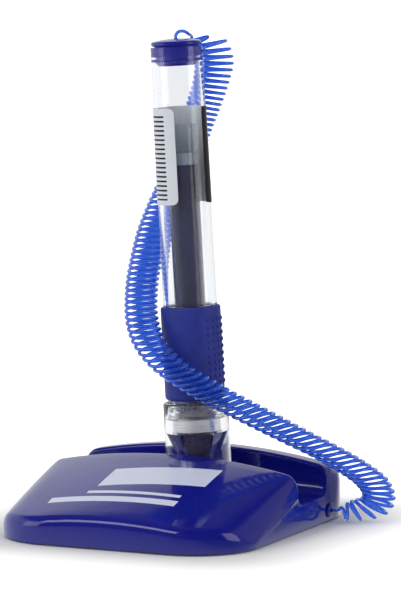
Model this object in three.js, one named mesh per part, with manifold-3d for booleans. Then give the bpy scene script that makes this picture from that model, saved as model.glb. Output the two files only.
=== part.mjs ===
// Counter pen. A ball pen on a curly cord stands in a clear cup, on a moulded base weighted with a
// steel plate. Millimetres, +Z up, +X to the right, -Y to the front. The origin is on the desk
// under the middle of the base.

import * as THREE from "three";
import { mergeVertices } from "three/addons/utils/BufferGeometryUtils.js";
import Module from "manifold-3d";

const wasm = await Module();
wasm.setup();

// Clearances
const fitGap = 0.3;
const labelGap = 0.15;
const ballGap = 0.08;

// Base shell
const baseWidth = 72;
const baseDepth = 87.5;
const baseCornerRadius = 18;
const baseWall = 2;
const shellLift = 0.6;
const ridgeHeight = 19.8;
const slopeAngle = 14.7;
const slopeBulge = 0.7;
const slopeShares = [0.25, 0.5, 0.75];
const frontFillet = 3;
const lipRadius = 1.8;
const frontShoulderRadius = 8;
const ridgeShoulderRadius = 3;
const crownDrop = 3.8;
const rearTopHeight = 19.2;
const rearTopDepth = 5.2;
const rearSlopeAngle = 18;
const rearFillet = 5;
const rearLipRadius = 1;

// Trough across the base
const troughToRear = 33.45;
const troughWidth = 19.2;
const troughFloorHeight = 7.6;
const troughCornerRadius = 6;

// Bottom cover, its screws, the feet and the weight
const coverThickness = 1.4;
const coverLift = 0.8;
const footRadius = 4;
const footRecess = 0.5;
const footFromSide = 11.5;
const footFromEnd = 10.75;
const screwFromSide = 11;
const screwFromFront = 23.75;
const screwFromRear = 18.25;
const screwRadius = 1.1;
const screwHeadRadius = 2.2;
const screwHeadHeight = 1.1;
const screwLength = 5.6;
const bossRadius = 3;
const weightFromBoss = 2;
const weightFromFront = 7.75;
const weightFromTrough = 6.7;
const weightThickness = 4;
const weightCornerRadius = 3;
const pegRadius = 1.5;
const pegSpacing = 24;

// Pen axis: it passes this point above the trough floor and leans to the left
const penFootX = 3.07;
const penFootLift = 1.4;
const penLean = 3.41;

// Levels and radii on the pen, measured along its axis from the foot point
const tipEnd = 0.8;
const tipBallRadius = 0.32;
const tipRadius = 1.1;
const tipShankRadius = 0.8;
const tipShankTop = 8;
const tipRim = 0.12;
const tipCollar = 0.6;
const noseStart = 4.2;
const noseEndRadius = 1.7;
const noseTop = 15.2;
const noseTopRadius = 5.4;
const noseWall = 1.3;
const noseNeckRadius = 4.7;
const noseThreadLength = 6.2;
const noseBoreDrop = 2.4;
const noseBoreStep = 0.6;
const collarRadius = 6.45;
const barrelStart = 19.5;
const barrelFootRadius = 7.45;
const barrelLowerRadius = 7.34;
const barrelUpperRadius = 6.95;
const barrelTop = 119;
const barrelBoreRadius = 5.95;
const gripStart = 24.2;
const gripEnd = 49.3;
const gripRadius = 8.08;
const gripSeatRadius = 6.65;
const refillRadius = 4.15;
const refillWall = 0.4;
const refillStart = 23.4;
const refillEnd = 98.2;
const holderRadius = 2.5;
const holderStart = 6.6;
const holderPlugLength = 4;
const holderTaper = 5;
const holderShoulder = 1;
const inkWayRadius = 0.7;
const inkEnd = 87.4;
const followerLength = 2.9;
const plugBodyLength = 5;
const plugGrooveDepth = 0.25;
const plugGrooveShare = 0.38;
const flangeRadius = 6.75;
const flangeThickness = 1.6;
const flangeCrown = 0.3;
const crownShare = 0.55;
const stopRadius = 2;
const stopLength = 2.2;
const stopDrop = 0.7;
const labelStart = 77;
const labelEnd = 102.8;
const labelThickness = 0.15;
const labelFirstAngle = -11;
const labelLastAngle = 282;

// Clear cup that the pen stands in
const cupRadius = 8.8;
const cupFootRadius = 5;
const cupFoot = -0.7;
const cupFloor = 0.4;
const cupRim = 23.4;
const cupChamferHeight = 4.2;
const cupStepDepth = 1;
const cupRimRound = 0.35;
const spigotRadius = 3.2;
const cupScrewRadius = 1.1;
const cupScrewHeadRadius = 3.6;
const cupScrewHeadHeight = 1.3;
const cupScrewLength = 2.4;

// Curly cord and where it meets the base
const cordRadius = 0.435;
const curlRadius = 4.15;
const cordExitFromRear = 21.75;
const cordExitHeight = 3.3;
const ringHeading = 25;
const grommetRadius = 1.4;
const grommetFlangeRadius = 2;
const grommetFlangeThickness = 0.6;
const clampRadius = 0.8;
const clampLength = 2.4;

const degrees = Math.PI / 180;
const outsideArcs = { corners: 4, stations: [15, 31, 46, 59, 70, 80, 90] };
const insideArcs = { corners: 2, stations: [22, 43, 62, 78, 90] };
const penSides = 32;
const labelSides = 20;
const troughCentreY = baseDepth / 2 - troughToRear;
const troughFrontY = troughCentreY - troughWidth / 2;
const troughRearY = troughCentreY + troughWidth / 2;
const penFootHeight = troughFloorHeight + penFootLift;
const cordExitY = baseDepth / 2 - cordExitFromRear;
const troughUnderside = -penFootLift - baseWall;
const cupScrewTilt = cupScrewHeadRadius * Math.sin(penLean * degrees);
const cupScrewSeat = troughUnderside - cupScrewTilt - fitGap / 2;

// Welds a geometry and leaves out the triangles that a lathe makes at its poles
function weld(geometry) {
  const bare = geometry.clone();
  bare.deleteAttribute("normal");
  bare.deleteAttribute("uv");
  const merged = mergeVertices(bare, 1e-4);
  const corners = Array.from(merged.index.array);
  const kept = [];
  for (let i = 0; i < corners.length; i += 3) {
    const [a, b, c] = corners.slice(i, i + 3);
    if (a !== b && b !== c && c !== a) {
      kept.push(a, b, c);
    }
  }
  merged.setIndex(kept);
  return merged;
}

function toSolid(geometry) {
  const welded = weld(geometry);
  return new wasm.Manifold(new wasm.Mesh({
    numProp: 3,
    vertProperties: welded.attributes.position.array,
    triVerts: Uint32Array.from(welded.index.array),
  }));
}

function toGeometry(solid) {
  const mesh = solid.getMesh();
  const geometry = new THREE.BufferGeometry();
  geometry.setAttribute("position", new THREE.Float32BufferAttribute(mesh.vertProperties, 3));
  geometry.setIndex(Array.from(mesh.triVerts));
  return geometry;
}

function join(first, ...others) {
  return toGeometry(others.reduce((solid, next) => solid.add(toSolid(next)), toSolid(first)));
}

function cut(first, ...others) {
  return toGeometry(others.reduce((solid, next) => solid.subtract(toSolid(next)), toSolid(first)));
}

// A solid of revolution about Z. The profile lists [radius, height] counterclockwise.
function revolve(profile, segments) {
  const points = profile.map(([radius, height]) => new THREE.Vector2(radius, height));
  points.push(points[0].clone());
  return weld(new THREE.LatheGeometry(points, segments).rotateX(90 * degrees));
}

function rod(radius, from, to, segments = 24) {
  return revolve([[0, from], [radius, from], [radius, to], [0, to]], segments);
}

function placed(geometry, x, y, z = 0) {
  return geometry.clone().translate(x, y, z);
}

// Points on the arc that rounds the corner between two straight edges
function roundCorner(before, corner, after, radius, steps) {
  const back = new THREE.Vector2().subVectors(before, corner);
  const ahead = new THREE.Vector2().subVectors(after, corner);
  const half = Math.acos(back.dot(ahead) / (back.length() * ahead.length())) / 2;
  const room = 0.46 * Math.min(back.length(), ahead.length());
  const tangent = Math.min(radius / Math.tan(half), room);
  const start = corner.clone().addScaledVector(back.normalize(), tangent);
  const end = corner.clone().addScaledVector(ahead.normalize(), tangent);
  const centre = corner.clone().addScaledVector(
    back.clone().add(ahead).normalize(), tangent / Math.cos(half));
  const first = start.clone().sub(centre);
  const last = end.clone().sub(centre);
  const turn = Math.atan2(first.cross(last), first.dot(last));
  return Array.from({ length: steps + 1 }, (unused, i) =>
    first.clone().rotateAround(new THREE.Vector2(), turn * i / steps).add(centre));
}

// Base shell

// How high a quarter round stands at x, where it ends at halfWidth
function quarterRound(x, halfWidth, radius) {
  const into = Math.max(Math.abs(x) - (halfWidth - radius), 0);
  return Math.sqrt(Math.max(radius ** 2 - into ** 2, 0));
}

// How far the base reaches to the front and to the back at x
function baseReach(x, inset) {
  const corner = baseCornerRadius - inset;
  return baseDepth / 2 - inset - corner + quarterRound(x, baseWidth / 2 - inset, corner);
}

// The outline of the shell cut at x, drawn in Y and Z. The inset gives the inside of the wall.
function baseSection(x, inset, bottom, arcSteps) {
  const shoulderDrop = (radius) => {
    const shoulder = Math.max(radius - inset, 0.5);
    return shoulder - quarterRound(x, baseWidth / 2 - inset, shoulder);
  };
  const reach = baseReach(x, inset);
  const crown = crownDrop * (x / (baseWidth / 2)) ** 2 + inset;
  const drop = crown + shoulderDrop(ridgeShoulderRadius);
  const frontWall = troughFrontY - inset;
  const rearWall = troughRearY + inset;
  const floor = troughFloorHeight - inset;
  const ridge = ridgeHeight - drop;
  const rear = rearTopHeight - drop;
  const rearFlat = Math.min(rearTopDepth, 0.4 * (reach - rearWall));
  const frontTop = ridgeHeight - crown - shoulderDrop(frontShoulderRadius)
    - (frontWall + reach) * Math.tan(slopeAngle * degrees);
  const rearEdge = rear - (reach - rearWall - rearFlat) * Math.tan(rearSlopeAngle * degrees);
  const slope = slopeShares.map((share) => [
    -reach + (frontWall + reach) * share,
    frontTop + (ridge - frontTop) * share + slopeBulge * 4 * share * (1 - share),
    0,
  ]);
  const corners = [
    [-reach, bottom, 0],
    [-reach, frontTop, frontFillet],
    ...slope,
    [frontWall, ridge, lipRadius],
    [frontWall, floor, troughCornerRadius],
    [rearWall, floor, troughCornerRadius],
    [rearWall, rear, rearLipRadius],
    [rearWall + rearFlat, rear, rearFillet],
    [reach, rearEdge, rearFillet],
    [reach, bottom, 0],
  ].map(([y, z, radius]) => ({ at: new THREE.Vector2(y, z), radius }));
  return corners.flatMap(({ at, radius }, i) => {
    if (radius === 0) {
      return [at];
    }
    return roundCorner(corners[i - 1].at, at, corners[i + 1].at, radius, arcSteps);
  });
}

// Stations along X, close together where the corners turn
function baseStations(inset, angles) {
  const halfWidth = baseWidth / 2 - inset;
  const straight = baseWidth / 2 - baseCornerRadius;
  const half = [0, straight];
  for (const angle of angles) {
    half.push(straight + (halfWidth - straight) * Math.sin(angle * degrees));
  }
  return [...half.slice(1).reverse().map((x) => -x), ...half];
}

function loftBase(inset, bottom, arcs) {
  const stations = baseStations(inset, arcs.stations);
  const sections = stations.map((x) => baseSection(x, inset, bottom, arcs.corners));
  const count = sections[0].length;
  const positions = sections.flatMap((section, i) =>
    section.flatMap((point) => [stations[i], point.x, point.y]));
  const triangles = [];
  for (let i = 0; i + 1 < stations.length; i += 1) {
    for (let j = 0; j < count; j += 1) {
      const a = i * count + j;
      const b = i * count + (j + 1) % count;
      triangles.push(a, b, b + count, a, b + count, a + count);
    }
  }
  const last = (stations.length - 1) * count;
  for (const [a, b, c] of THREE.ShapeUtils.triangulateShape(sections[0], [])) {
    triangles.push(a, b, c);
  }
  for (const [a, b, c] of THREE.ShapeUtils.triangulateShape(sections.at(-1), [])) {
    triangles.push(last + a, last + c, last + b);
  }
  const geometry = new THREE.BufferGeometry();
  geometry.setAttribute("position", new THREE.Float32BufferAttribute(positions, 3));
  geometry.setIndex(triangles);
  const solid = toSolid(geometry);
  if (solid.volume() < 0) {
    for (let i = 0; i < triangles.length; i += 3) {
      [triangles[i], triangles[i + 1]] = [triangles[i + 1], triangles[i]];
    }
    geometry.setIndex(triangles);
  }
  return geometry;
}

// Puts a piece drawn along the pen's axis in its leaning place
function alongPen(geometry) {
  return geometry.clone().rotateY(-penLean * degrees)
    .translate(penFootX, troughCentreY, penFootHeight);
}

const screwX = baseWidth / 2 - screwFromSide;
const frontScrewY = screwFromFront - baseDepth / 2;
const rearScrewY = baseDepth / 2 - screwFromRear;
const screwPlaces = [
  [-screwX, frontScrewY],
  [screwX, frontScrewY],
  [-screwX, rearScrewY],
  [screwX, rearScrewY],
];
const coverTop = coverLift + coverThickness;
const bossFoot = coverTop + fitGap;
const screwTop = coverLift + screwLength;

function baseShell() {
  const outer = loftBase(0, shellLift, outsideArcs);
  const inner = loftBase(baseWall, shellLift - baseWall, insideArcs);
  const seat = alongPen(rod(cupFootRadius + fitGap, troughUnderside, cupFoot - fitGap, 28));
  const body = toSolid(join(outer, seat)).subtract(toSolid(inner));
  const bossHeight = ridgeHeight - bossFoot;
  const bosses = screwPlaces.map(([x, y]) =>
    toSolid(placed(rod(bossRadius, bossFoot, bossFoot + bossHeight, 14), x, y)));
  const bossesInside = bosses.reduce((all, boss) => all.add(boss)).intersect(toSolid(outer));
  const holes = screwPlaces.map(([x, y]) =>
    placed(rod(screwRadius + fitGap, 0, screwTop + fitGap, 10), x, y));
  const spigotHole = alongPen(rod(spigotRadius + fitGap, troughUnderside - baseWall,
    cupFoot + baseWall, 24));
  const cordHole = rod(grommetRadius + fitGap, -baseWall, baseWall, 16).rotateY(90 * degrees)
    .translate(baseWidth / 2 - baseWall / 2, cordExitY, cordExitHeight);
  return cut(toGeometry(body.add(bossesInside)), ...holes, spigotHole, cordHole);
}

// A plate with the base's outline
function basePlate(inset, thickness, arcs) {
  const stations = baseStations(inset, arcs.stations);
  const front = stations.map((x) => new THREE.Vector2(x, -baseReach(x, inset)));
  const rear = stations.map((x) => new THREE.Vector2(x, baseReach(x, inset))).reverse();
  return new THREE.ExtrudeGeometry(new THREE.Shape([...front, ...rear]), {
    depth: thickness,
    bevelEnabled: false,
  });
}

// Rounded rectangle in the XY plane
function roundedPlate(width, depth, radius, thickness, steps) {
  const x = width / 2;
  const y = depth / 2;
  const shape = new THREE.Shape();
  shape.absarc(x - radius, y - radius, radius, 0, 90 * degrees);
  shape.absarc(radius - x, y - radius, radius, 90 * degrees, 180 * degrees);
  shape.absarc(radius - x, radius - y, radius, 180 * degrees, 270 * degrees);
  shape.absarc(x - radius, radius - y, radius, 270 * degrees, 360 * degrees);
  shape.closePath();
  return new THREE.ExtrudeGeometry(shape, {
    depth: thickness,
    bevelEnabled: false,
    curveSegments: steps,
  });
}

const footX = baseWidth / 2 - footFromSide;
const footY = baseDepth / 2 - footFromEnd;
const weightWidth = 2 * (screwX - bossRadius - weightFromBoss);
const weightFrontY = weightFromFront - baseDepth / 2;
const weightRearY = troughFrontY - weightFromTrough;
const weightCentreY = (weightFrontY + weightRearY) / 2;
const pegPlaces = [[-pegSpacing / 2, weightCentreY], [pegSpacing / 2, weightCentreY]];
const footPlaces = [[-footX, -footY], [footX, -footY], [-footX, footY], [footX, footY]];
const weightFoot = coverTop + fitGap;

function bottomCover() {
  const plate = placed(basePlate(baseWall + fitGap, coverThickness, insideArcs), 0, 0, coverLift);
  const pegs = pegPlaces.map(([x, y]) =>
    placed(rod(pegRadius, coverTop - coverThickness / 2, weightFoot + weightThickness, 12), x, y));
  const sinks = screwPlaces.map(([x, y]) => placed(revolve([
    [0, -1], [screwHeadRadius + fitGap, -1], [screwHeadRadius + fitGap, 0],
    [screwRadius + fitGap, screwHeadHeight], [screwRadius + fitGap, coverThickness + 1],
    [0, coverThickness + 1],
  ], 12), x, y, coverLift));
  const recesses = footPlaces.map(([x, y]) =>
    placed(rod(footRadius + fitGap, 0, coverLift + footRecess, 18), x, y));
  return cut(join(plate, ...pegs), ...sinks, ...recesses);
}

function steelWeight() {
  const plate = placed(roundedPlate(weightWidth, weightRearY - weightFrontY,
    weightCornerRadius, weightThickness, 3), 0, weightCentreY, weightFoot);
  const holes = pegPlaces.map(([x, y]) =>
    placed(rod(pegRadius + fitGap, weightFoot - 1, weightFoot + weightThickness + 1, 12), x, y));
  return cut(plate, ...holes);
}

function foot() {
  const top = coverLift + footRecess - fitGap;
  const edge = 0.3;
  return revolve([
    [0, 0], [footRadius - edge, 0], [footRadius, edge], [footRadius, top], [0, top],
  ], 18);
}

function coverScrew() {
  return revolve([
    [0, coverLift], [screwHeadRadius, coverLift], [screwRadius, coverLift + screwHeadHeight],
    [screwRadius, screwTop - screwRadius / 2], [screwRadius / 2, screwTop], [0, screwTop],
  ], 12);
}

// Clear cup and its screw, drawn along the pen's axis

function cupWall(level) {
  const slope = (noseTopRadius - noseEndRadius) / (noseTop - noseStart);
  return noseEndRadius + (level - noseStart) * slope + fitGap;
}

const barrelStep = barrelStart - fitGap / 2;

function penCup() {
  const bore = collarRadius + fitGap;
  const mouth = barrelFootRadius + fitGap;
  const seatTop = noseTop - fitGap / 2;
  const screwHoleTop = cupScrewSeat + cupScrewLength + fitGap;
  const spigotEnd = troughUnderside;
  return revolve([
    [0, screwHoleTop],
    [cupScrewRadius + fitGap, screwHoleTop],
    [cupScrewRadius + fitGap, spigotEnd],
    [spigotRadius, spigotEnd],
    [spigotRadius, cupFoot],
    [cupFootRadius, cupFoot],
    [cupRadius, cupFoot + cupChamferHeight],
    [cupRadius, cupRim - cupRimRound],
    [cupRadius - cupRimRound, cupRim],
    [mouth + cupRimRound, cupRim],
    [mouth, cupRim - cupRimRound],
    [mouth, barrelStep - fitGap],
    [bore, barrelStep - fitGap],
    [bore, seatTop],
    [cupWall(seatTop), seatTop],
    [cupWall(noseStart), noseStart],
    [cupWall(noseStart), noseStart - cupStepDepth],
    [tipRadius + fitGap, noseStart - cupStepDepth],
    [tipRadius + fitGap, cupFloor],
    [0, cupFloor],
  ], penSides);
}

function cupScrew() {
  return revolve([
    [0, cupScrewSeat - cupScrewHeadHeight],
    [cupScrewHeadRadius - fitGap, cupScrewSeat - cupScrewHeadHeight],
    [cupScrewHeadRadius, cupScrewSeat - cupScrewHeadHeight + fitGap],
    [cupScrewHeadRadius, cupScrewSeat],
    [cupScrewRadius, cupScrewSeat],
    [cupScrewRadius, cupScrewSeat + cupScrewLength - cupScrewRadius / 2],
    [cupScrewRadius / 2, cupScrewSeat + cupScrewLength],
    [0, cupScrewSeat + cupScrewLength],
  ], 16);
}

// Pen, drawn along its axis from the foot point

const tubeBore = refillRadius - refillWall;
const inkRadius = tubeBore - fitGap;
const holderTop = refillStart + holderPlugLength;

function tipBall() {
  const centre = tipEnd + tipBallRadius;
  return new THREE.SphereGeometry(tipBallRadius, 8, 6).rotateX(90 * degrees)
    .translate(0, 0, centre);
}

function writingTip() {
  const socket = tipBallRadius + ballGap;
  const socketFloor = tipEnd + 2 * tipBallRadius + ballGap;
  const mouth = tipEnd + tipRim;
  return revolve([
    [socket, mouth],
    [socket + tipRim, mouth],
    [tipRadius, noseStart - tipCollar],
    [tipRadius, noseStart + tipCollar],
    [tipShankRadius, noseStart + tipCollar],
    [tipShankRadius, tipShankTop],
    [0, tipShankTop],
    [0, socketFloor],
    [socket, socketFloor],
  ], 14);
}

function refillHolder() {
  const inner = tipShankRadius + fitGap;
  return revolve([
    [inner, holderStart],
    [inner + 0.5, holderStart],
    [holderRadius, holderStart + holderTaper],
    [holderRadius, refillStart - 2 * holderShoulder],
    [refillRadius, refillStart - holderShoulder],
    [refillRadius, refillStart - fitGap],
    [inkRadius, refillStart - fitGap],
    [inkRadius, holderTop - fitGap],
    [inkWayRadius, holderTop - fitGap],
    [inkWayRadius, tipShankTop + fitGap],
    [inner, tipShankTop + fitGap],
  ], 18);
}

function refillTube() {
  return revolve([
    [tubeBore, refillStart],
    [refillRadius, refillStart],
    [refillRadius, refillEnd],
    [tubeBore, refillEnd],
  ], 24);
}

function noseCone() {
  const neckTop = barrelStart + fitGap;
  const holderBore = holderRadius + fitGap;
  const tipHole = tipRadius + fitGap;
  const threadTop = neckTop + noseThreadLength;
  const threadRadius = barrelBoreRadius - fitGap;
  const shoulderBore = refillRadius + fitGap;
  return revolve([
    [tipHole, noseStart],
    [noseEndRadius, noseStart],
    [noseTopRadius, noseTop],
    [noseNeckRadius, noseTop],
    [noseNeckRadius, neckTop],
    [threadRadius, neckTop],
    [threadRadius, threadTop],
    [shoulderBore, threadTop],
    [shoulderBore, neckTop + noseBoreStep + fitGap],
    [holderBore, neckTop + noseBoreStep],
    [holderBore, noseTop - noseBoreDrop],
    [tipHole, noseStart + noseWall],
  ], penSides);
}

function noseCollar() {
  return revolve([
    [noseNeckRadius + fitGap, noseTop + fitGap],
    [collarRadius, noseTop + fitGap],
    [collarRadius, barrelStart - fitGap],
    [noseNeckRadius + fitGap, barrelStart - fitGap],
  ], penSides);
}

function penBarrel() {
  const edge = 0.3;
  return revolve([
    [barrelBoreRadius, barrelStart],
    [barrelFootRadius - edge, barrelStart],
    [barrelFootRadius, barrelStart + edge],
    [barrelFootRadius, gripStart - fitGap],
    [gripSeatRadius, gripStart - fitGap],
    [gripSeatRadius, gripEnd + fitGap],
    [barrelLowerRadius, gripEnd + fitGap],
    [barrelUpperRadius, barrelTop],
    [barrelBoreRadius, barrelTop],
  ], penSides);
}

function rubberGrip() {
  const edge = 0.8;
  const bore = gripSeatRadius + fitGap;
  return revolve([
    [bore, gripStart],
    [gripRadius - edge, gripStart],
    [gripRadius - edge / 3, gripStart + edge / 3],
    [gripRadius, gripStart + edge],
    [gripRadius, gripEnd - edge],
    [gripRadius - edge / 3, gripEnd - edge / 3],
    [gripRadius - edge, gripEnd],
    [bore, gripEnd],
  ], penSides);
}

function endPlug() {
  const top = barrelTop + fitGap + flangeThickness;
  const body = barrelBoreRadius - fitGap;
  const bodyEnd = barrelTop - plugBodyLength;
  const grooveAt = bodyEnd + plugBodyLength * plugGrooveShare;
  const hole = cordRadius + fitGap;
  const cavity = stopRadius + 2 * fitGap;
  const crownAt = flangeRadius * crownShare;
  const edge = 0.35;
  return revolve([
    [cavity, bodyEnd],
    [body - edge * 2, bodyEnd],
    [body, bodyEnd + edge * 2],
    [body, grooveAt],
    [body - plugGrooveDepth, grooveAt + plugGrooveDepth],
    [body, grooveAt + 2 * plugGrooveDepth],
    [body, barrelTop + fitGap],
    [flangeRadius - edge, barrelTop + fitGap],
    [flangeRadius, barrelTop + fitGap + edge],
    [flangeRadius, top - edge],
    [flangeRadius - edge, top],
    [crownAt, top + flangeCrown * 0.8],
    [hole, top + flangeCrown],
    [hole, stopTop + fitGap],
    [cavity, stopTop + fitGap],
  ], penSides);
}

const stopTop = barrelTop - stopDrop;

function cordStop() {
  const edge = 0.4;
  return revolve([
    [0, stopTop - stopLength],
    [stopRadius - edge, stopTop - stopLength],
    [stopRadius, stopTop - stopLength + edge],
    [stopRadius, stopTop - edge],
    [stopRadius - edge, stopTop],
    [0, stopTop],
  ], 14);
}

function barrelRadiusAt(level) {
  const share = (level - gripEnd) / (barrelTop - gripEnd);
  return barrelLowerRadius + (barrelUpperRadius - barrelLowerRadius) * share;
}

// The label is wound most of the way round the barrel. Its gap faces the front.
function barrelLabel() {
  const inner = barrelRadiusAt(labelStart) + labelGap;
  const outer = inner + labelThickness;
  const first = labelFirstAngle * degrees;
  const last = labelLastAngle * degrees;
  const shape = new THREE.Shape();
  shape.absarc(0, 0, outer, first, last, false);
  shape.absarc(0, 0, inner, last, first, true);
  shape.closePath();
  return new THREE.ExtrudeGeometry(shape, {
    depth: labelEnd - labelStart,
    bevelEnabled: false,
    curveSegments: labelSides,
  }).translate(0, 0, labelStart);
}

// Curly cord

// The rings stand edge on to one side. This is the direction along them, and the one through them.
const up = new THREE.Vector3(0, 0, 1);
const ringSideways = new THREE.Vector3(1, 0, 0).applyAxisAngle(up, ringHeading * degrees);
const ringThrough = new THREE.Vector3(0, 1, 0).applyAxisAngle(up, ringHeading * degrees);

function onPenAxis(level) {
  return new THREE.Vector3(0, 0, level).applyAxisAngle(new THREE.Vector3(0, 1, 0),
    -penLean * degrees).add(new THREE.Vector3(penFootX, troughCentreY, penFootHeight));
}

const plugTop = barrelTop + fitGap + flangeThickness + flangeCrown;

// A point above the plug, from its middle: sideways, up and through
function overPlug(sideways, lift, through) {
  return onPenAxis(plugTop).addScaledVector(ringSideways, sideways)
    .addScaledVector(ringThrough, through).addScaledVector(up, lift);
}

const exitFace = baseWidth / 2 + grommetFlangeThickness;
const cordEndX = baseWidth / 2 - baseWall;

// A point beside the pen, from its foot on the desk
function besidePen(x, y, z) {
  return new THREE.Vector3(penFootX + x, troughCentreY + y, z);
}

// A point near the cord's exit: out from the base, sideways and up
function fromExit(out, sideways, lift) {
  return new THREE.Vector3(exitFace + out, cordExitY + sideways, cordExitHeight + lift);
}

// The middle line of the cord: place, tilt of the rings in degrees, distance from ring to ring
// and how much of the full curl radius the cord has there
const cordRoute = [
  [onPenAxis(stopTop + fitGap), 30, 1.6, 0],
  [onPenAxis(plugTop), 30, 1.6, 0],
  [overPlug(0.05, 0.9, 0), 30, 1.6, 0],
  [overPlug(0.7, 1.7, 0.2), 30, 1.6, 0],
  [overPlug(1.8, 1.9, 1), 30, 1.6, 0],
  [overPlug(2.9, 1.45, 2.4), 30, 1.6, 0],
  [overPlug(3.5, 0.85, 4.3), 30, 1.6, 0],
  [overPlug(3.9, 0.65, 6), 30, 1.6, 0],
  [overPlug(4.2, 0.2, 7.4), 30, 1.6, 0],
  [overPlug(4.6, -0.9, 8), 27, 1.6, 0],
  [overPlug(7.6, -0.6, 7), 20, 2.4, 0.55],
  [besidePen(-2.17, 11.6, 127.9), 14, 2, 1],
  [besidePen(-0.97, 12.2, 125.4), 5, 1.75, 1],
  [besidePen(-0.67, 12.3, 122.2), 0, 1.65, 1],
  [besidePen(-1.47, 12.2, 119.2), -4, 1.58, 1],
  [besidePen(-2.57, 12.4, 116.2), -6, 1.55, 1],
  [besidePen(-3.87, 12.7, 113.2), -8, 1.5, 1],
  [besidePen(-5.17, 12.9, 110.2), -9, 1.45, 1],
  [besidePen(-6.37, 12.9, 107.4), -9, 1.46, 1],
  [besidePen(-7.57, 12.9, 104.3), -8, 1.46, 1],
  [besidePen(-9.37, 12.5, 99.3), -6, 1.46, 1],
  [besidePen(-11.27, 11.5, 94.3), -3, 1.46, 1],
  [besidePen(-13.27, 9.8, 88.8), 0, 1.46, 1],
  [besidePen(-15.17, 7.5, 82.8), 0, 1.45, 1],
  [besidePen(-16.07, 4.6, 77.6), 0, 1.43, 1],
  [besidePen(-16.37, 1.3, 71.2), 0, 1.43, 1],
  [besidePen(-16.37, -1.7, 64.6), 1, 1.43, 1],
  [besidePen(-15.57, -4.3, 59.3), 2, 1.43, 1],
  [besidePen(-13.97, -7.4, 55.5), 4, 1.45, 1],
  [besidePen(-11.57, -10.2, 51.5), 7, 1.43, 1],
  [besidePen(-7.97, -12.7, 47.7), 10, 1.49, 1],
  [besidePen(-4.17, -13.9, 44.7), 13, 1.53, 1],
  [besidePen(0.03, -13.8, 41.8), 15, 1.58, 1],
  [besidePen(4.43, -12.5, 39), 17, 1.63, 1],
  [besidePen(9.03, -10, 35.8), 18, 1.63, 1],
  [besidePen(16.13, -6.9, 31.8), 17, 1.61, 1],
  [besidePen(23.23, -4.1, 27.9), 15, 1.5, 1],
  [besidePen(30.13, -1.2, 24.1), 12, 1.45, 1],
  [besidePen(36.43, 2.6, 20.3), 10, 1.42, 1],
  [besidePen(41.83, 6.7, 16.2), 10, 1.45, 1],
  [besidePen(45.43, 11.1, 12), 8, 1.6, 1],
  [fromExit(12.7, 2.6, 4.6), -4, 1.9, 1],
  [fromExit(11, 4, 1.6), -22, 2.15, 1],
  [fromExit(8.1, 3.2, 0.4), -38, 2.55, 0.88],
  [fromExit(5.8, 1.2, -0.1), -62, 2.5, 0.54],
  [fromExit(3.8, 0.1, -0.2), -88, 2.4, 0.46],
  [fromExit(2.1, 0, 0), -90, 2.4, 0.05],
  [fromExit(0.9, 0, 0), -90, 2.4, 0],
  [new THREE.Vector3(cordEndX, cordExitY, cordExitHeight), -90, 2.4, 0],
];

function cordMiddleLine() {
  const curve = new THREE.CatmullRomCurve3(cordRoute.map(([place]) => place));
  const stretches = cordRoute.length - 1;
  const settings = (position) => {
    const i = Math.min(Math.floor(position), stretches - 1);
    const share = position - i;
    return [1, 2, 3].map((k) =>
      cordRoute[i][k] + (cordRoute[i + 1][k] - cordRoute[i][k]) * share);
  };
  const stepsPerCurl = 8;
  const plainStep = 0.9;
  const fine = 1 / 400;
  const points = [curve.getPoint(0)];
  let curls = 0;
  let sinceLast = 0;
  let shown = 0;
  let before = curve.getPoint(0);
  for (let position = fine; position <= stretches + fine / 2; position += fine) {
    const here = curve.getPoint(Math.min(position / stretches, 1));
    const [tilt, spacing, share] = settings(Math.min(position, stretches));
    const along = ringSideways.clone().multiplyScalar(Math.cos(tilt * degrees))
      .addScaledVector(up, Math.sin(tilt * degrees));
    const normal = along.clone().cross(ringThrough);
    const step = here.clone().sub(before);
    const advance = share > 0 ? Math.abs(step.dot(normal)) : 0;
    curls += advance / spacing;
    sinceLast += step.length();
    const curled = share > 0 && curls * stepsPerCurl >= shown + 1;
    const plain = share === 0 && sinceLast >= plainStep;
    if (curled || plain) {
      const angle = 2 * Math.PI * curls;
      const radius = curlRadius * share;
      points.push(here.clone().addScaledVector(along, radius * Math.cos(angle))
        .addScaledVector(ringThrough, radius * Math.sin(angle)));
      sinceLast = 0;
    }
    if (curled) {
      shown += 1;
    }
    before = here;
  }
  points.push(curve.getPoint(1));
  return { points, curls };
}

// A tube with a ring of five points on each point of the line, and closed ends
function sweepTube(points, radius, sides = 5) {
  const positions = [];
  const triangles = [];
  let across = null;
  points.forEach((point, i) => {
    const before = points[Math.max(i - 1, 0)];
    const after = points[Math.min(i + 1, points.length - 1)];
    const ahead = after.clone().sub(before).normalize();
    across = across ?? new THREE.Vector3(0, 1, 0);
    across = across.clone().addScaledVector(ahead, -across.dot(ahead)).normalize();
    const other = ahead.clone().cross(across);
    for (let k = 0; k < sides; k += 1) {
      const angle = 2 * Math.PI * k / sides;
      const corner = point.clone().addScaledVector(across, radius * Math.cos(angle))
        .addScaledVector(other, radius * Math.sin(angle));
      positions.push(corner.x, corner.y, corner.z);
    }
  });
  for (let i = 0; i + 1 < points.length; i += 1) {
    for (let k = 0; k < sides; k += 1) {
      const a = i * sides + k;
      const b = i * sides + (k + 1) % sides;
      triangles.push(a, b, b + sides, a, b + sides, a + sides);
    }
  }
  const last = (points.length - 1) * sides;
  for (let k = 1; k + 1 < sides; k += 1) {
    triangles.push(0, k + 1, k, last, last + k, last + k + 1);
  }
  const geometry = new THREE.BufferGeometry();
  geometry.setAttribute("position", new THREE.Float32BufferAttribute(positions, 3));
  geometry.setIndex(triangles);
  return geometry;
}

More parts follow.
